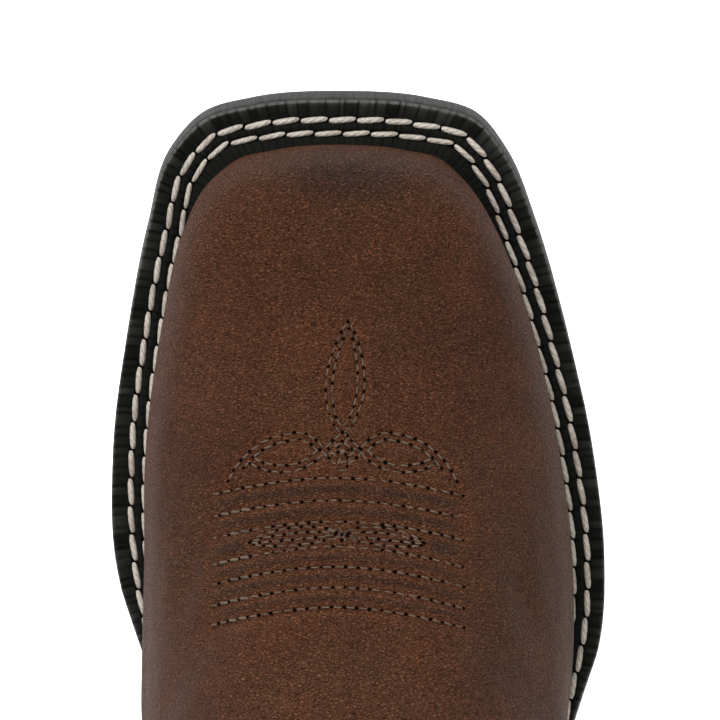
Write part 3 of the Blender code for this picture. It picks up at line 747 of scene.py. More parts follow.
# The braid's strands: how far each bows out, and at which share of the way out it starts.
BRAID_STRANDS = ((-1.9, 0.06), (-0.7, 0.15), (0.7, 0.11), (1.9, 0.04))
PETAL_UPPER = (
    (-4.0, 0.6), (-6.6, 3.0), (-9.5, 4.0), (-11.9, 3.8), (-14.3, 3.3), (-16.7, 2.4),
    (-18.9, 1.2), (-21.1, -0.7), (-23.1, -2.8), (-24.4, -4.8), (-25.4, -6.8),
)
PETAL_LOWER = (
    (-4.0, -0.4), (-5.9, -2.0), (-8.1, -3.4), (-10.6, -4.3), (-13.3, -4.6), (-15.9, -4.4),
    (-18.4, -3.8), (-20.6, -2.7),
)
TONGUE_PETAL = 24.7 * MM
TONGUE_HALF = 4.3 * MM
ROWS_APART = 1.5
THREAD_PITCH = 2.75 * MM
FINE_PITCH = 2.7 * MM
THREAD_REACH = 6 * MM


def smooth_path(points, count=60):
    """A curve through given points, with chord-length knots."""
    points = np.array(points)
    knots = travelled(points)
    slopes = np.gradient(points, knots, axis=0)
    return hermite(knots, points, slopes, np.linspace(0.0, knots[-1], count))


def wrinkle_line(back, drop):
    """A shallow arch across the vamp: it falls back with the square of the distance out."""
    share = np.linspace(-1.0, 1.0, 90)
    y = FLOWER[1] - back * MM - drop * MM * np.abs(share) ** 1.8
    return np.column_stack((ROW_CENTRE + share * ROW_HALF, y))


def petal(points, grow, side):
    """A side petal's edge, moved in by a distance and mirrored for the other side."""
    path = smooth_path(points)
    run = unit(np.gradient(path, axis=0))
    moved = path + np.column_stack((-run[:, 1], run[:, 0])) * grow
    return FLOWER + moved * MM * (side, 1)


def tongue_petal(shrink):
    """The petal that points to the toe: two bows that meet in a point at each end."""
    share = np.linspace(0.0, 1.0, 50)
    width = (TONGUE_HALF - shrink) * np.sin(math.pi * share ** 0.82) ** 0.8
    y = FLOWER[1] + 4.0 * MM + shrink + share * (TONGUE_PETAL - 2.0 * shrink)
    x = FLOWER[0] + 1.3 * MM * share
    return [np.column_stack((x + side * width, y)) for side in (-1, 1)]


def diamond(half_x, half_y):
    """A closed diamond round the flower's middle."""
    share = np.linspace(0.0, 4.0, 41)
    x = np.interp(share, np.arange(5), (0, half_x, 0, -half_x, 0))
    y = np.interp(share, np.arange(5), (half_y, 0, -half_y, 0, half_y))
    return np.column_stack((x, y)) * MM + FLOWER


def braid_line(side, reach, start):
    """One strand of a lens beside the knot, bowed out by its reach."""
    share = np.linspace(start, 0.90 + 0.4 * start, 60)
    x = FLOWER[0] + share * (side * BRAID_HALF + ROW_CENTRE - FLOWER[0])
    bow = reach * MM * np.sin(math.pi * ramp(share * 1.04)) ** 0.6
    return np.column_stack((x, FLOWER[1] - BRAID_BACK - BRAID_DROP * share ** 2 + bow))


def star(back, half_x, half_y, rays):
    """Short lines through one middle, for the knots of the flower and the braid."""
    reach = np.linspace(-1.0, 1.0, 9)[:, None] * MM
    turns = np.arange(rays) * math.pi / rays + 0.2
    centre = FLOWER - np.array((0.0, back))
    return [centre + reach * (half_x * math.cos(turn), half_y * math.sin(turn)) for turn in turns]


def vamp_paths():
    """Every line of the vamp's stitching, as plan curves."""
    paths = [wrinkle_line(back, drop) for back, drop in WRINKLE_ROWS]
    for side in (1, -1):
        paths.append(petal(PETAL_UPPER, 0.0, side))
        paths.append(petal(PETAL_UPPER[:9], ROWS_APART, side))
        paths.append(petal(PETAL_LOWER, 0.0, side))
        paths.append(petal(PETAL_LOWER, -ROWS_APART, side))
    for shrink in (0.0, ROWS_APART * MM):
        paths.extend(tongue_petal(shrink))
    paths += [diamond(4.6, 4.2), diamond(2.6, 2.3), *star(0.0, 3.6, 3.4, 3)]
    for side in (1, -1):
        for reach, start in BRAID_STRANDS:
            paths.append(braid_line(side, reach, start))
    paths.extend(star(BRAID_BACK, 4.4, 1.9, 4))
    paths.append(np.array(((-0.1, 1.9), (-0.1, -1.9))) * MM + FLOWER - (0.0, BRAID_BACK))
    return paths


def distance_to(paths, x, y, reach):
    """Distance from each place to the nearest of the paths, cut off at a reach."""
    spots = np.column_stack((x.ravel(), y.ravel()))
    best = np.full(len(spots), reach)
    for path in paths:
        close = np.all((spots > path.min(axis=0) - reach) & (spots < path.max(axis=0) + reach), axis=1)
        leg = np.diff(path, axis=0)
        gap = spots[close][:, None] - path[:-1]
        share = ramp((gap * leg).sum(axis=2) / np.maximum((leg ** 2).sum(axis=1), 1e-12))
        off = np.linalg.norm(gap - share[..., None] * leg, axis=2)
        best[close] = np.minimum(best[close], off.min(axis=1))
    return best.reshape(x.shape)


# Soft folds of the leather: plan middle, heading in degrees, half length, half width and depth
VAMP_FOLDS = (
    (-34.0, 146.0, 62.0, 15.0, 4.0, 0.55),
    (-38.0, 158.0, 66.0, 12.0, 3.5, 0.40),
    (33.0, 143.0, 118.0, 15.0, 4.0, 0.50),
    (38.0, 156.0, 112.0, 12.0, 3.5, 0.40),
    (-20.0, 138.0, 35.0, 16.0, 4.5, 0.45),
    (18.0, 136.0, 145.0, 16.0, 4.5, 0.45),
)


def trough(along, across, depth):
    """A trough with a rounded floor and a low ridge on each side, faded at both ends."""
    return depth * MM * bell(along, 1.0) * (1 - 0.7 * across ** 2) * bell(across, 1.0)


def fold_depth(x, y):
    """Depth of the vamp's soft folds."""
    total = np.zeros(x.shape)
    for middle_x, middle_y, heading, half_length, half_width, depth in VAMP_FOLDS:
        cos, sin = math.cos(math.radians(heading)), math.sin(math.radians(heading))
        off_x, off_y = x / MM - middle_x, y / MM - middle_y
        along = (off_x * cos + off_y * sin) / half_length
        total += trough(along, (off_y * cos - off_x * sin) / half_width, depth)
    return total


def make_vamp(finish):
    """Vamp leather: the surface between the side seams, drawn down along each line of thread."""
    count, levels = 400, 226
    share = np.linspace(0.0, 1.0, count)
    u = SEAM + (1 - 2 * SEAM) * (share + 0.25 * np.sin(2 * math.pi * share) / (2 * math.pi))
    middle = surface(np.array([0.5]), np.linspace(0.0, VAMP_PEAK, 200)[None])[0]
    run = travelled(middle)
    climb = np.interp(np.linspace(0.0, run[-1], levels), run, np.linspace(0.0, 1.0, 200))
    v = overlay_line(u)[:, None] * climb[None]
    x, y, z = np.moveaxis(surface(u, v), -1, 0)
    paths = vamp_paths()
    top = z > seat(y) + 30 * MM
    gap = np.where(top, distance_to(paths, x, y, THREAD_REACH), THREAD_REACH)
    draw = 0.30 * MM * bell(gap, 0.7 * MM) + 0.42 * MM * bell(gap, 1.55 * MM)
    last_back, last_drop = WRINKLE_ROWS[-1]
    share = (x - ROW_CENTRE) / ROW_HALF
    arch = FLOWER[1] - last_drop * MM * share ** 2 - y
    in_rows = ramp((1.0 - np.abs(share)) * 8) * ramp((arch - 5.0 * MM) / (2 * MM))
    in_rows *= ramp(((last_back + 1.0) * MM - arch) / (2 * MM)) * top
    draw -= 0.22 * MM * in_rows
    outer = layer(u, v, draw + np.where(top, fold_depth(x, y), 0.0))
    edge = v[:, -1:]
    rims = [layer(u, at, depth * OVERLAY) for at, depth in ((edge, 0.5), (edge, 1.0), (edge - 0.25, 1.0))]
    grid = np.concatenate((outer, *rims), axis=1)
    sides = [grid[end:][:1].copy() for end in (0, count - 1)]
    for end, side in zip((0, count - 1), sides):
        side[:, :levels] = layer(u[end:][:1], v[end:][:1], OVERLAY)
    grid = np.concatenate((sides[0], grid, sides[1]))
    marks = {
        # Painted highlight beside each line of thread.
        "near_thread": bell(gap - 0.9 * MM, 0.8 * MM),
        # Painted shade along each line of thread, in its stitch channel.
        "trough": bell(gap, 0.55 * MM),
        # Painted shade on the tops of the puffs between the wrinkle rows.
        "puff_top_shade": in_rows * ramp((gap - 0.9 * MM) / (0.9 * MM)),
        # Painted shade: where the darker grey patch lies on the top of the toe.
        "toe_top_shade": bell(x, 17 * MM) * bell(y - 251 * MM, 6 * MM),
        # Painted highlight: strongest at the vamp's lower edge, fading out 28 mm up.
        "edge_warmth": ramp(1 - (z - seat(y)) / (28 * MM)),
    }
    pad = [(1, 1), (0, len(rims))]
    marks = {label: np.pad(values, pad, mode="edge") for label, values in marks.items()}
    quads = grid_quads(*grid.shape[:2])
    return make_piece("vamp_leather", grid, quads, finish, "vamp_leather", ("vamp",), marks=marks), paths


def on_top_of(piece, paths, lift):
    """Plan paths dropped on a piece from above, with the normals there."""
    mesh = piece.data
    faces = [tuple(face.vertices) for face in mesh.polygons]
    tree = BVHTree.FromPolygons([tuple(corner.co) for corner in mesh.vertices], faces)
    dropped = []
    for path in paths:
        hits = [tree.ray_cast(Vector((x, y, 0.5)), Vector((0.0, 0.0, -1.0))) for x, y in path]
        spot, normal = (np.array([tuple(hit[part]) for hit in hits]) for part in (0, 1))
        dropped.append((spot + normal * lift, normal))
    return dropped


def make_vamp_stitching(piece, paths, finish, hole_shade_finish):
    """Thread of the flower and the wrinkle rows, sunk between needle holes of uneven size, shown as dark dots
    of painted shade.
    """
    threads = []
    holes = []
    chance = np.random.default_rng(3)
    for spot, normal in on_top_of(piece, paths, 0.02 * MM):
        place, along, up = spaced(spot, normal, THREAD_PITCH)
        place = place - up * chance.uniform(0.0, 0.10, (len(place), 1)) * MM
        thick = np.abs(place[:, 0] - ROW_CENTRE) > 0.5 * ROW_HALF
        for row, width, slant in ((~thick, 0.33, 0.05), (thick, 0.42, 0.09)):
            where = (place[row], along[row], up[row])
            size = (2.3 * MM, width * MM, 0.34 * MM)
            threads.append(stitch_row(where, size, plies=0.12, slant=slant, dip=0.26 * MM))
        holes.append((place + along * THREAD_PITCH / 2 + up * 0.10 * MM, along, up))
    for row, (spot, normal) in enumerate(on_top_of(piece, paths[1:7], 0.10 * MM)):
        tacks = slice(1 + row % 2, 4)
        where = [part[tacks] for part in spaced(spot, normal, THREAD_PITCH)]
        size = (2.6 * MM, 0.66 * MM, 0.5 * MM)
        threads.append(stitch_row(where, size, plies=0.16, slant=0.14, dip=0.2 * MM))
    add_stitches("toe_stitching", np.concatenate(threads), finish, "toe_stitching")
    # Dark dots of painted shade stand for the needle holes, in three sizes.
    holes = [np.concatenate(parts) for parts in zip(*holes)]
    dots = []
    for size in (0.62, 0.78, 0.94):
        pick = chance.permutation(len(holes[0]))[: len(holes[0]) // 2]
        size = (size * MM, size * 0.86 * MM, 0.2 * MM)
        dots.append(stitch_row([part[pick] for part in holes], size, rows=4))
    add_stitches("toe_needle_holes", np.concatenate(dots), hole_shade_finish, "toe_stitching")


def seam_row(u, v, depth, lift=0.05 * MM):
    """Points and normals along a line given in the surface's own coordinates."""
    v = v[:, None]
    return layer(u, v, depth - lift)[:, 0], skin_normal(u, v)[:, 0]


def fine_stitches(name, rows, finish):
    """Small threads along rows of points and normals."""
    size = (0.84 * FINE_PITCH, 0.62 * MM, 0.5 * MM)
    made = [stitch_row(spaced(*row, FINE_PITCH), size, plies=0.10, dip=0.28 * MM) for row in rows]
    add_stitches(name, np.concatenate(made), finish, "toe_stitching")


def ring_step(u, v, distance):
    """How many rings a distance up the surface is, at a line."""
    near = surface(u, np.stack((v - 0.05, v + 0.05), axis=1))
    length = np.linalg.norm(near[:, 1] - near[:, 0], axis=1)
    return 0.1 * distance / length


def make_counter(finish):
    """Heel counter: an overlay from seam to seam round the heel."""
    count, levels = 190, 90
    u = np.linspace(1 - SEAM, 1 + SEAM, count)
    u[0] += 0.0006
    u[-1] -= 0.0006
    v = overlay_line(u)[:, None] * np.linspace(0.0, 1.0, levels)[None]
    outer, inner = (layer(u, v, depth) for depth in (0.0, OVERLAY))
    make_wall("heel_counter_leather", outer, inner, finish, "vamp_leather", ("heel_counter",), False)


def make_overlay_stitching(finish):
    """Two rows along the top of the vamp, two along the counter and two at each side seam."""
    rows = []
    for start, end, count in ((SEAM, 1 - SEAM, 700), (1 - SEAM, 1 + SEAM, 400)):
        u = np.linspace(start + 0.004, end - 0.004, count)
        for inset in (2.2 * MM, 4.6 * MM):
            v = overlay_line(u)
            rows.append(seam_row(u, v - ring_step(u, v, inset), 0.0))
    for edge in (SEAM, 1 - SEAM):
        v = np.linspace(0.35, overlay_line(edge) - 0.35, 80)
        for inset in (0.0038, 0.0072, -0.0038, -0.0072):
            rows.append(seam_row(np.full(80, edge + inset), v, 0.0))
    fine_stitches("overlay_stitching", rows, finish)


# Ankle folds of the shaft: share round, ring, half widths of both, depth in millimetres
SHAFT_FOLDS = (
    (0.43, 9.6, 0.060, 0.34, 0.9),
    (0.57, 9.9, 0.060, 0.34, 0.8),
    (0.34, 9.0, 0.050, 0.36, 0.9),
    (0.66, 9.2, 0.050, 0.36, 0.9),
    (0.22, 7.6, 0.060, 0.42, 1.0),
    (0.78, 7.8, 0.060, 0.42, 1.0),
    (0.12, 8.4, 0.060, 0.40, 0.9),
    (0.88, 8.2, 0.060, 0.40, 0.9),
    (0.00, 7.3, 0.050, 0.36, 0.6),
)


def shaft_fold_depth(u, v):
    """Soft troughs round the ankle, with low ridges above and below, fading at the overlays."""
    total = np.zeros(v.shape)
    for at, height, half_u, half_v, depth in SHAFT_FOLDS:
        off = np.abs(np.mod(u, 1.0) - at)[:, None]
        off = np.minimum(off, 1 - off) / half_u
        total += trough(off, (v - height - 0.25 * off ** 2) / half_v, depth)
    return total * ramp((v - overlay_line(u)[:, None]) / 0.5)


def make_sleeve(name, finish, slot, replaces, grid, start, depths):
    """A closed wall round the leg up to the collar, between two depths under the surface."""
    count, levels = grid
    u = np.arange(count) / count
    start = start(u)[:, None]
    v = start + (LAST_RING - start) * np.linspace(0.0, 1.0, levels)
    folds = shaft_fold_depth(u, v)
    outer, inner = (layer(u, v, UPPER_DEPTH + depth + folds) for depth in depths)
    make_wall(name, outer, inner, finish, slot, replaces)


def under_overlays(u):
    """The shaft leather's lower edge, tucked under vamp and counter."""
    return overlay_line(u) - 0.5


def make_binding(finish):
    """Binding folded over the collar: one leg outside, a round top and one leg inside."""
    count, leg, arc = 320, 6, 7
    u = np.arange(count) / count
    top = np.full(count, float(LAST_RING))
    drop = ring_step(u, top - 0.05, 7.5 * MM)
    v = top[:, None] - drop[:, None] * np.linspace(1.0, 0.0, leg)
    turn = np.linspace(0.0, math.pi, arc + 2)[1:-1][None, :, None]
    grids = []
    for cover in (0.75 * MM, 0.05 * MM):
        outside = layer(u, v, UPPER_DEPTH - cover)
        inside = layer(u, v[:, ::-1], UPPER_DEPTH + WALL + cover)
        centre = (outside[:, -1:] + inside[:, :1]) / 2
        reach = outside[:, -1:] - centre
        lift = np.linalg.norm(reach, axis=-1, keepdims=True) * np.array([0.0, 0.0, 0.75])
        bend = centre + reach * np.cos(turn) + lift * np.sin(turn)
        grids.append(np.concatenate((outside, bend, inside), axis=1))
    make_wall("collar_binding", *grids, finish, "strap_leather")


def make_piping(name, at, finish):
    """Piping down a side seam: a half-sunk cord from the collar to the overlays."""
    rows, cols = 150, 12
    v = np.linspace(overlay_line(at) + 0.02, LAST_RING - 0.25, rows)
    points, normals = seam_row(np.full(rows, at), v, UPPER_DEPTH, 0.35 * MM)
    across = np.cross(unit(np.gradient(points, axis=0)), normals)
    phi = np.linspace(0.0, 2 * math.pi, cols, endpoint=False)[None, :, None]
    index = np.arange(rows)
    swell = np.minimum(1.0, np.minimum(index, index[::-1]) / 2.0)[:, None, None]
    tube = across[:, None] * np.cos(phi) + normals[:, None] * np.sin(phi)
    make_tube(name, points[:, None] + tube * 1.25 * MM * swell, finish, "strap_leather")


def make_shaft_stitching(finish):
    """Rows beside the side seams' piping and below the collar's binding."""
    rows = []
    for at in (0.25, 0.75):
        v = np.linspace(overlay_line(at) + 0.15, LAST_RING - 0.3, 300)
        for inset in (0.011, 0.019, -0.011, -0.019):
            rows.append(seam_row(np.full(300, at + inset), v, UPPER_DEPTH))
    u = np.linspace(0.0, 1.0, 900)
    top = np.full(900, float(LAST_RING))
    rows.append(seam_row(u, top - ring_step(u, top - 0.05, 5.6 * MM), UPPER_DEPTH - 0.75 * MM))
    fine_stitches("shaft_stitching", rows, finish)


def strap_grids(middle, count, leg_rows, loop_rows):
    """Outer and inner faces of a pull strap: two legs on the wall and half a circle over it."""
    fine = 400
    near = np.linspace(middle - 0.05, middle + 0.05, fine)
    run = travelled(surface(near, np.full((fine, 1), float(LAST_RING)))[:, 0])
    run -= np.interp(middle, near, run)
    across = np.interp(np.linspace(-STRAP_WIDTH / 2, STRAP_WIDTH / 2, count), run, near)
    climb = np.linspace(LAST_RING - 2.0, LAST_RING, fine)
    height = travelled(surface(np.array([middle]), climb[None])[0])
    height -= height[-1]

    def leg(start, end, depth):
        v = np.interp(np.linspace(start, end, leg_rows), height, climb)
        return layer(across, np.broadcast_to(v, (count, leg_rows)), UPPER_DEPTH + depth)

    bulge = STRAP_LOOP / 2
    turn = np.linspace(0.0, math.pi, loop_rows)[None, :, None]
    upward = np.array([0.0, 0.0, 1.0])
    grids = []
    for grow in (STRAP, 0.0):
        leg_out = leg(-STRAP_OUTER_LEG, 0.0, -STRAP_CLEAR - grow)
        leg_in = leg(0.0, -STRAP_INNER_LEG, WALL + STRAP_CLEAR + grow)
        away = unit((leg_out[:, -1] - leg_in[:, 0]) * (1.0, 1.0, 0.0))[:, None]
        centre = ((leg_out[:, -1] + leg_in[:, 0]) / 2 + upward * (STRAP_RISE - bulge))[:, None]
        loop = centre + (away * np.cos(turn) + upward * np.sin(turn)) * (bulge + grow)
        grids.append(np.concatenate((leg_out, loop, leg_in), axis=1))
    return grids


def make_strap(name, node, middle, finish):
    """A pull strap with softened edges, and the rows of its stitching."""
    count = 17
    outer, inner = strap_grids(middle, count, 26, 30)
    edge = np.abs(np.linspace(-1.0, 1.0, count))[:, None, None] ** 8 * 0.45
    half = (inner - outer) / 2 * edge
    outer = outer + half
    inner = inner - half
    make_wall(name, outer, inner, finish, "strap_leather", (node,), False)
    normal = unit(outer - inner)
    places = (np.s_[2], np.s_[count - 3], np.s_[2:-2, 2], np.s_[2:-2, 8])
    return [(outer[place], normal[place]) for place in places]


# Welt

def breast_share(y):
    """Share of the way round at which the sole's edge is a distance y in front of the origin."""
    u = np.linspace(0.0, 0.5, 400)
    return np.interp(y, sole_outline(u)[:, 1], u)


def welt_room(u):
    """The sole's edge in plan, the way from it to the leather, and how long that way is."""
    edge = sole_outline(u)
    inner = layer(u, np.full((len(u), 1), 0.6), -0.5 * MM)[:, 0, :2]
    return edge, inner - edge, np.linalg.norm(edge - inner, axis=1)


def toward_toe(u, power):
    """One at the toe's tip, falling to nought at the widest part of the boot."""
    return np.maximum(-np.cos(2 * math.pi * u), 0.0) ** power


def seam_inset(u, toe, inner_side, outer_side, room, spare):
    """How far a seam lies from the sole's edge, narrower where the welt is."""
    at_toe = np.where(u < 0.5, toward_toe(u, 6), toward_toe(u, 2))
    side = np.where(u < 0.5, inner_side, outer_side)
    return np.minimum((side + (toe - side) * at_toe) * MM, room - spare * MM)


def seams(u, room):
    """Insets of the welt's outer and inner seam."""
    return seam_inset(u, 5.2, 4.8, 4.1, room, 4.0), seam_inset(u, 8.3, 8.1, 7.35, room, 1.15)


TOE_BEVEL = 0.95 * MM
# A stitch channel of the welt: offset from the seam, depth, and wear with painted sheen
CHANNEL = ((-0.55, 0.35, 0.0), (0.0, 0.5, 0.0), (0.55, 0.35, 0.0))


def bevel(u, height):
    """How far the sole's edge leans in at the toe by a height above its underside."""
    return TOE_BEVEL * toward_toe(u, 3) * min(height / SOLE, 1.0)


def welt_place(u, inset, height):
    """A point of the welt: an inset towards the upper, and a height above the underside."""
    edge, way, room = welt_room(u)
    return stack(edge + way * (inset / room)[:, None], height)


def notches(run, pitch, seed, width):
    """Notches of an uneven row, as a share of the deepest, and the tone of each block."""
    chance = np.random.default_rng(seed)
    count = int(run[-1] / pitch) + 2
    places = np.arange(count) * pitch + chance.uniform(-0.24, 0.24, count) * pitch
    strength = chance.uniform(0.55, 1.0, count)
    after = np.clip(np.searchsorted(places, run), 1, count - 1)
    nearer = np.where(run - places[after - 1] < places[after] - run, after - 1, after)
    cut = strength[nearer] * bell(run - places[nearer], width * MM)
    return cut, chance.uniform(0.25, 1.35, count)[after]


def make_welt(finish):
    """Storm welt: a rounded rim, a notched band, two stitch channels and a lip at the upper."""
    start = breast_share(HEEL_BREAST + GAP)
    u = np.linspace(start, 1.0 - start, 1500)
    edge, way, room = welt_room(u)
    run = travelled(edge)
    first, second = seams(u, room)
    lean = bevel(u, SOLE)
    base = SOLE + 0.1 * MM
    top = SOLE + WELT
    notch, tone = notches(run, 2.4 * MM, 7, 0.30)
    fine, fine_tone = notches(run, 1.1 * MM, 11, 0.17)
    cut = 0.70 * notch + 0.18 * fine
    tone = tone * (0.7 + 0.3 * fine_tone)
    # Rows across the welt: inset from the sole's edge, height, and wear with painted sheen.
    rows = [
        (lean + 0.45 * MM, base, 0.3),
        (lean + 0.15 * MM, base + 0.35 * MM, 0.5),
        (lean + 0.08 * MM, base + 1.5 * MM, 0.5),
        (lean + 0.10 * MM, top - 1.0 * MM, 0.9),
        (lean + 0.24 * MM, top - 0.45 * MM - 0.2 * MM * cut, 1.0),
        (lean + 0.55 * MM, top - 0.14 * MM - 0.4 * MM * cut, 0.30 * tone),
    ]
    rim = lean + 1.0 * MM
    band = first - 1.05 * MM - rim
    for share in np.linspace(0.0, 1.0, 6):
        height = top - 0.05 * MM - 0.75 * MM * cut * (1.0 - 0.5 * share ** 3)
        rows.append((rim + band * share, height, (0.17 - 0.10 * share) * tone))
    for seam, start in ((first, 0.85), (second, 0.95)):
        for off, depth, rub_and_sheen in ((-start, 0.0, 0.06), *CHANNEL, (0.85, 0.0, 0.06)):
            rows.append((seam + off * MM, top - depth * MM, rub_and_sheen))
    lip = np.maximum(room - 1.7 * MM, second + 0.95 * MM)
    notch, tone = notches(run, 1.9 * MM, 5, 0.3)
    for share, rise, rub_and_sheen in ((0.0, 0.25, 0.05), (0.35, 1.0, 0.10 * tone), (0.70, 1.5, 0.10 * tone)):
        rows.append((lip + (room - lip) * share, top + rise * MM - 0.22 * MM * notch, rub_and_sheen))
    rows += [(room, top + 1.3 * MM, 0.0), (room, base, 0.0)]
    grid = np.stack([stack(edge + way * (row[0] / room)[:, None], row[1]) for row in rows], axis=1)
    # Wear and painted sheen, held low in the notches, which stay dark as painted shade.
    wear_and_sheen = np.stack([row[2] * (1 - 0.85 * np.minimum(cut * 1.6, 1.0)) for row in rows], axis=1)
    middle = np.broadcast_to(grid.mean(axis=1, keepdims=True), grid.shape)
    grid = np.concatenate((middle[:1], grid, middle[-1:]))
    wear_and_sheen = np.pad(wear_and_sheen, [(1, 1), (0, 0)], mode="edge")
    make_tube("welt_strip", grid, finish, "welt_leather", ("welt",), False, marks={"wear_and_sheen": wear_and_sheen})
    return u


def make_welt_stitching(u, finish, hole_shade_finish):
    """Thick plied thread in both of the welt's seams."""
    holes = []
    for name, inset, width in zip(("outer", "inner"), seams(u, welt_room(u)[2]), (1.34, 1.20)):
        path = welt_place(u, inset, SOLE + WELT - 0.05 * MM)
        up = unit(welt_place(u, inset, SOLE + WELT + 0.1 * MM) - path)
        place, along, normal = spaced(path, up, 6.55 * MM)
        size = (6.75 * MM, width * MM, 1.05 * MM)
        points = stitch_row((place, along, normal), size, 19, 12, 0.16, -0.08, 0.5 * MM)
        add_stitches("welt_stitching_" + name, points, finish, "welt_stitching")
        # Dark dots of painted shade stand for the needle holes.
        where = (place + along * 3.27 * MM - normal * 0.2 * MM, along, normal)
        holes.append(stitch_row(where, (0.6 * MM, 1.1 * MM, 0.5 * MM), rows=4))
    add_stitches("welt_needle_holes", np.concatenate(holes), hole_shade_finish, "welt_leather")


# Sole

def tread(x, y):
    """Depth of the tread: bowed grooves across the forepart, and fine ribs between them."""
    station = (y + HEEL_BACK) / LENGTH
    fore = ramp((station - 0.585) / 0.02) * ramp((0.965 - station) / 0.02)
    u = np.linspace(0.0, 0.5, 300)
    left, right = (
        np.interp(y, line[:, 1], line[:, 0]) + margin
        for line, margin in ((sole_outline(u), 11 * MM), (sole_outline(1.0 - u), -11 * MM))
    )
    inside = ramp((x - left) / (1.2 * MM)) * ramp((right - x) / (1.2 * MM))
    share = np.clip((x - (left + right) / 2) / ((right - left) / 2 + 1e-6), -1.0, 1.0)
    phase = (y - 7.0 * MM * (1 - share ** 2) + HEEL_BACK - 0.60 * LENGTH) / GROOVE_PITCH
    off = np.abs(phase - np.round(phase)) * GROOVE_PITCH
    groove = 1.8 * MM * ramp((2.1 * MM - off) / (0.7 * MM))
    ribs = 0.5 * MM * ramp(1 - np.abs(phase * 5 - np.round(phase * 5)) * 4.5)
    return fore * inside * np.maximum(groove, ribs)


def edge_plan(u, inset):
    """The sole's outline moved in by an inset."""
    return sole_outline(u) - outward(sole_outline, u) * inset


def make_outsole(finish):
    """Outsole: for each station a closed section of top, edges and treaded underside."""
    t = np.linspace(0.0, 0.5, 520)
    edge_rows = (
        (0.50, 0.0), (0.16, 0.45), (0.0, 1.3), (0.0, 3.0), (0.05, 5.2), (0.12, 6.5), (0.35, 7.0),
    )

    def side(u):
        rows = []
        for inset, height in edge_rows:
            lean = bevel(u, height * MM)[:, None]
            rows.append(stack(edge_plan(u, inset * MM + lean), height * MM))
        return np.stack(rows, axis=1)

    inner, outer = side(t), side(1.0 - t)
    low_in, low_out = (edge_plan(u, 0.5 * MM)[:, None] for u in (t, 1.0 - t))
    plan = low_in + (low_out - low_in) * np.linspace(0.0, 1.0, 72)[None, :, None]
    height = underside(plan[..., 1]) + tread(plan[..., 0], plan[..., 1])
    bottom = np.concatenate((plan, height[..., None]), axis=2)
    top = inner[:, -1:] + (outer[:, -1:] - inner[:, -1:]) * np.array([0.25, 0.5, 0.75])[None, :, None]
    grid = np.concatenate((bottom[:, 1:-1], outer, top[:, ::-1], inner[:, ::-1]), axis=1)
    grid[0, :, 0] = 0.0
    grid[-1, :, 0] = TOE_TIP[1] * BALL_WIDTH
    run = np.broadcast_to(travelled(sole_outline(t))[:, None], grid.shape[:2])
    uv = np.stack((run, grid[..., 2]), axis=-1)
    make_tube("outsole_rubber", grid, finish, "outsole_rubber", ("outsole",), uv=uv)


def heel_outline(depth, front, count=120):
    """Heel outline with a straight breast, as a closed ring of plan points."""
    breast = breast_share(HEEL_BREAST)
    turn = np.concatenate((np.linspace(0.0, breast, count), np.linspace(1 - breast, 1.0, count)[:-1]))
    plan = edge_plan(turn, depth)
    plan[count - 1:count + 1, 1] = front
    breast_line = np.linspace(plan[count - 1], plan[count], 40)
    return np.concatenate((plan[:count - 1], breast_line, plan[count + 1:]))


# The side of one lift of the heel: share of its height, and how far it stands out in millimetres
LIFT_EDGE = (
    (0.0, -0.22), (0.06, -0.05), (0.14, 0.0), (0.5, 0.04), (0.86, 0.0), (0.94, -0.05), (0.999, -0.22),
)
# The side of the rubber cap: height, and how far it stands out, both in millimetres
CAP_EDGE = (
    (0.0, -1.2), (0.0, -0.45), (0.35, -0.08), (1.2, 0.05), (4.0, 0.08), (7.0, 0.05), (7.7, -0.05),
    (7.95, -0.3),
)


def heel_grid(heights, grows):
    """Rings of the heel at some heights, grown by some sizes, with a cap at both ends."""
    rings = []
    for height, grow in zip(heights, grows):
        fall = 1 - height / HEEL_HEIGHT
        plan = heel_outline(HEEL_TAPER * fall - grow, HEEL_BREAST - BREAST_SLANT * fall + grow)
        rings.append(np.column_stack((plan, np.minimum(height, underside(plan[:, 1]) - GAP))))
    rings = np.stack(rings)
    middle = rings.mean(axis=1, keepdims=True)
    caps = [
        np.concatenate([middle[end] + (rings[end] - middle[end]) * share for share in (0.0, 0.5, 0.97)])
        for end in (np.s_[:1], np.s_[-1:])
    ]
    return np.concatenate((caps[0], rings, caps[1][::-1]))


def make_heel(block_finish, lift_finish):
    """Stacked heel with a groove at each lift's joint, and the rubber cap under it."""
    lifts = 5
    lift = (HEEL_HEIGHT - GAP - TOP_LIFT) / lifts
    shares, grows = np.array(LIFT_EDGE).T
    heights = (TOP_LIFT + GAP + (np.arange(lifts)[:, None] + shares) * lift).ravel()
    grows = np.tile(grows, lifts)
    grid = heel_grid(heights, grows * MM)
    joint = np.broadcast_to(np.pad((grows < -0.1).astype(float), 3)[:, None], grid.shape[:2])
    make_tube("heel_stack", grid, block_finish, "heel_stack", ("heel_block",), marks={"joint": joint})
    grid = heel_grid(*(np.array(CAP_EDGE).T * MM))
    make_tube("top_lift_rubber", grid, lift_finish, "top_lift_rubber", ("top_lift",))


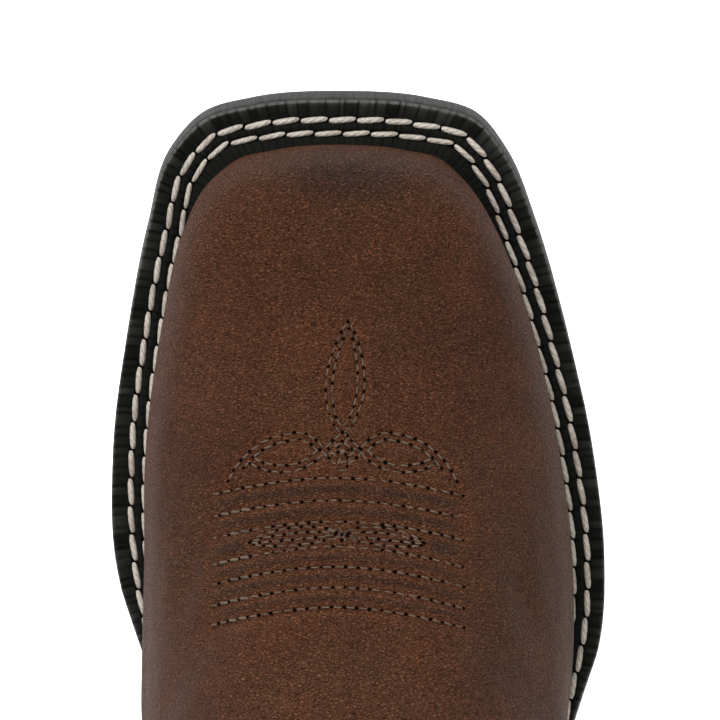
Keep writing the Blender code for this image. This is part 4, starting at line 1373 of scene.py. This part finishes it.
def make_insole(finish):
    """Insole with softened edges, seen down the shaft."""
    t = np.linspace(0.0, 0.5, 220)

    def side(u):
        rows = []
        for depth, height in ((0.9, 0.3), (0.5, 1.2), (0.5, 2.8), (1.4, 3.9)):
            plan = layer(u, np.zeros((len(u), 1)), UPPER_DEPTH + WALL + depth * MM)[:, 0, :2]
            rows.append(np.column_stack((plan, seat(plan[:, 1]) + height * MM)))
        return np.stack(rows, axis=1)

    inner, outer = side(t), side(1.0 - t)
    shares = np.linspace(0.0, 1.0, 26)[1:-1][None, :, None]
    top = outer[:, -1:] + (inner[:, -1:] - outer[:, -1:]) * shares
    top[..., 2] += 0.25 * MM * np.sin(math.pi * shares[..., 0])
    low = inner[:, :1] + (outer[:, :1] - inner[:, :1]) * np.array([0.33, 0.66])[None, :, None]
    grid = np.concatenate((low, outer, top, inner[:, ::-1]), axis=1)
    for end in (0, -1):
        grid[end, :, 0] = grid[end, :, 0].mean()
    make_tube("insole_leather", grid, finish, "insole_leather", ("insole",))


# Making

vamp_finish = oiled_leather(
    "vamp_oiled_leather", (0.0385, 0.0146, 0.0072), (0.0520, 0.0197, 0.0096), (0.0715, 0.0268, 0.0126),
    toe=True,
)
shaft_finish = oiled_leather(
    "shaft_oiled_leather", (0.0335, 0.0127, 0.0063), (0.0450, 0.0170, 0.0083), (0.0610, 0.0228, 0.0108),
)
trim_finish = oiled_leather(
    "trim_leather", (0.0200, 0.0088, 0.0055), (0.0300, 0.0125, 0.0075), (0.0400, 0.0160, 0.0092),
)
tan_finish = smooth_leather("insole_tan", (0.40, 0.25, 0.135), (0.29, 0.17, 0.088))
lining_finish = smooth_leather("lining_tan", (0.42, 0.28, 0.165), (0.32, 0.205, 0.115), 0.62)
cream_thread = thread("cream_thread", (0.208, 0.186, 0.159), (0.136, 0.112, 0.090), plied=True)
toe_thread = thread("taupe_thread", (0.056, 0.041, 0.030), (0.028, 0.0185, 0.0125), 0.7, sheen=0.1)

vamp, stitch_paths = make_vamp(vamp_finish)
make_vamp_stitching(vamp, stitch_paths, toe_thread, painted_hole_shade("needle_hole", (0.0012, 0.0009, 0.0008)))
make_counter(vamp_finish)
make_overlay_stitching(toe_thread)
make_sleeve(
    "shaft_leather", shaft_finish, "shaft_leather", ("upper",), (280, 112), under_overlays, (0.0, 1.2 * MM),
)
make_sleeve("shaft_lining", lining_finish, "lining_leather", (), (200, 104), np.zeros_like, (1.25 * MM, WALL))
make_binding(trim_finish)
make_piping("side_piping_medial", 0.25, trim_finish)
make_piping("side_piping_lateral", 0.75, trim_finish)
make_shaft_stitching(toe_thread)
strap_rows = make_strap("pull_strap_inner_side", "pull_strap_medial", 0.25, trim_finish)
strap_rows += make_strap("pull_strap_outer_side", "pull_strap_lateral", 0.75, trim_finish)
fine_stitches("pull_strap_stitching", strap_rows, toe_thread)
welt_shares = make_welt(welt_black())
make_welt_stitching(welt_shares, cream_thread, painted_hole_shade("welt_hole", (0.0008, 0.0008, 0.0008)))
make_outsole(edge_rubber())
lift_finish = plain_rubber("top_lift_rubber", (0.0075, 0.0075, 0.0077), (0.0190, 0.0186, 0.0180))
make_heel(heel_stack_black(), lift_finish)
make_insole(tan_finish)


# Studio

def make_floor(reach=4.0):
    """A plain pale floor."""
    mesh = bpy.data.meshes.new("floor")
    corners = [(-reach, -reach, 0), (reach, -reach, 0), (reach, reach, 0), (-reach, reach, 0)]
    mesh.from_pydata(corners, [], [(0, 1, 2, 3)])
    mesh.materials.append(Paint("floor_paper", 0.9, specular_ior_level=0.1).finish((0.93, 0.93, 0.93)))
    floor = placed("floor", mesh)


def make_light(name, place, power):
    """A square soft light aimed at the boot."""
    data = bpy.data.lights.new(name, "AREA")
    data.size = 0.9
    data.energy = power
    lamp = placed(name, data)
    lamp.location = place
    lamp.rotation_mode = "QUATERNION"
    lamp.rotation_quaternion = (Vector(BOOT_MIDDLE) - Vector(place)).to_track_quat("-Z", "Y")


def make_world(strength):
    """An even white surround."""
    world = bpy.data.worlds.new("surround")
    world.use_nodes = True
    back = world.node_tree.nodes["Background"]
    back.inputs["Color"].default_value = (1.0, 1.0, 1.0, 1.0)
    back.inputs["Strength"].default_value = strength
    bpy.context.scene.world = world


def make_camera(over, height, pixel, pixels=720):
    """A camera straight above a place, toe upwards; a pixel covers its size on the floor."""
    data = bpy.data.cameras.new("camera")
    data.sensor_width = 36.0
    data.lens = data.sensor_width * height / (pixel * pixels)
    data.clip_start = 0.05
    data.clip_end = 50.0
    camera = placed("camera", data)
    camera.location = (*over, height)
    bpy.context.scene.camera = camera


make_floor()
make_world(0.16)
BOOT_MIDDLE = (0.0, 0.17, 0.03)
make_light("toe_box", (-0.25, 1.35, 1.45), 60.0)
make_light("left_box", (-1.20, 0.50, 1.35), 56.0)
make_light("right_box", (1.30, 0.35, 1.35), 27.0)
make_light("heel_box", (0.20, -1.10, 1.40), 30.0)
make_camera((1.0 * MM, 208.9 * MM), 1.0, 0.2358 * MM)
bpy.context.scene.view_settings.view_transform = "Standard"
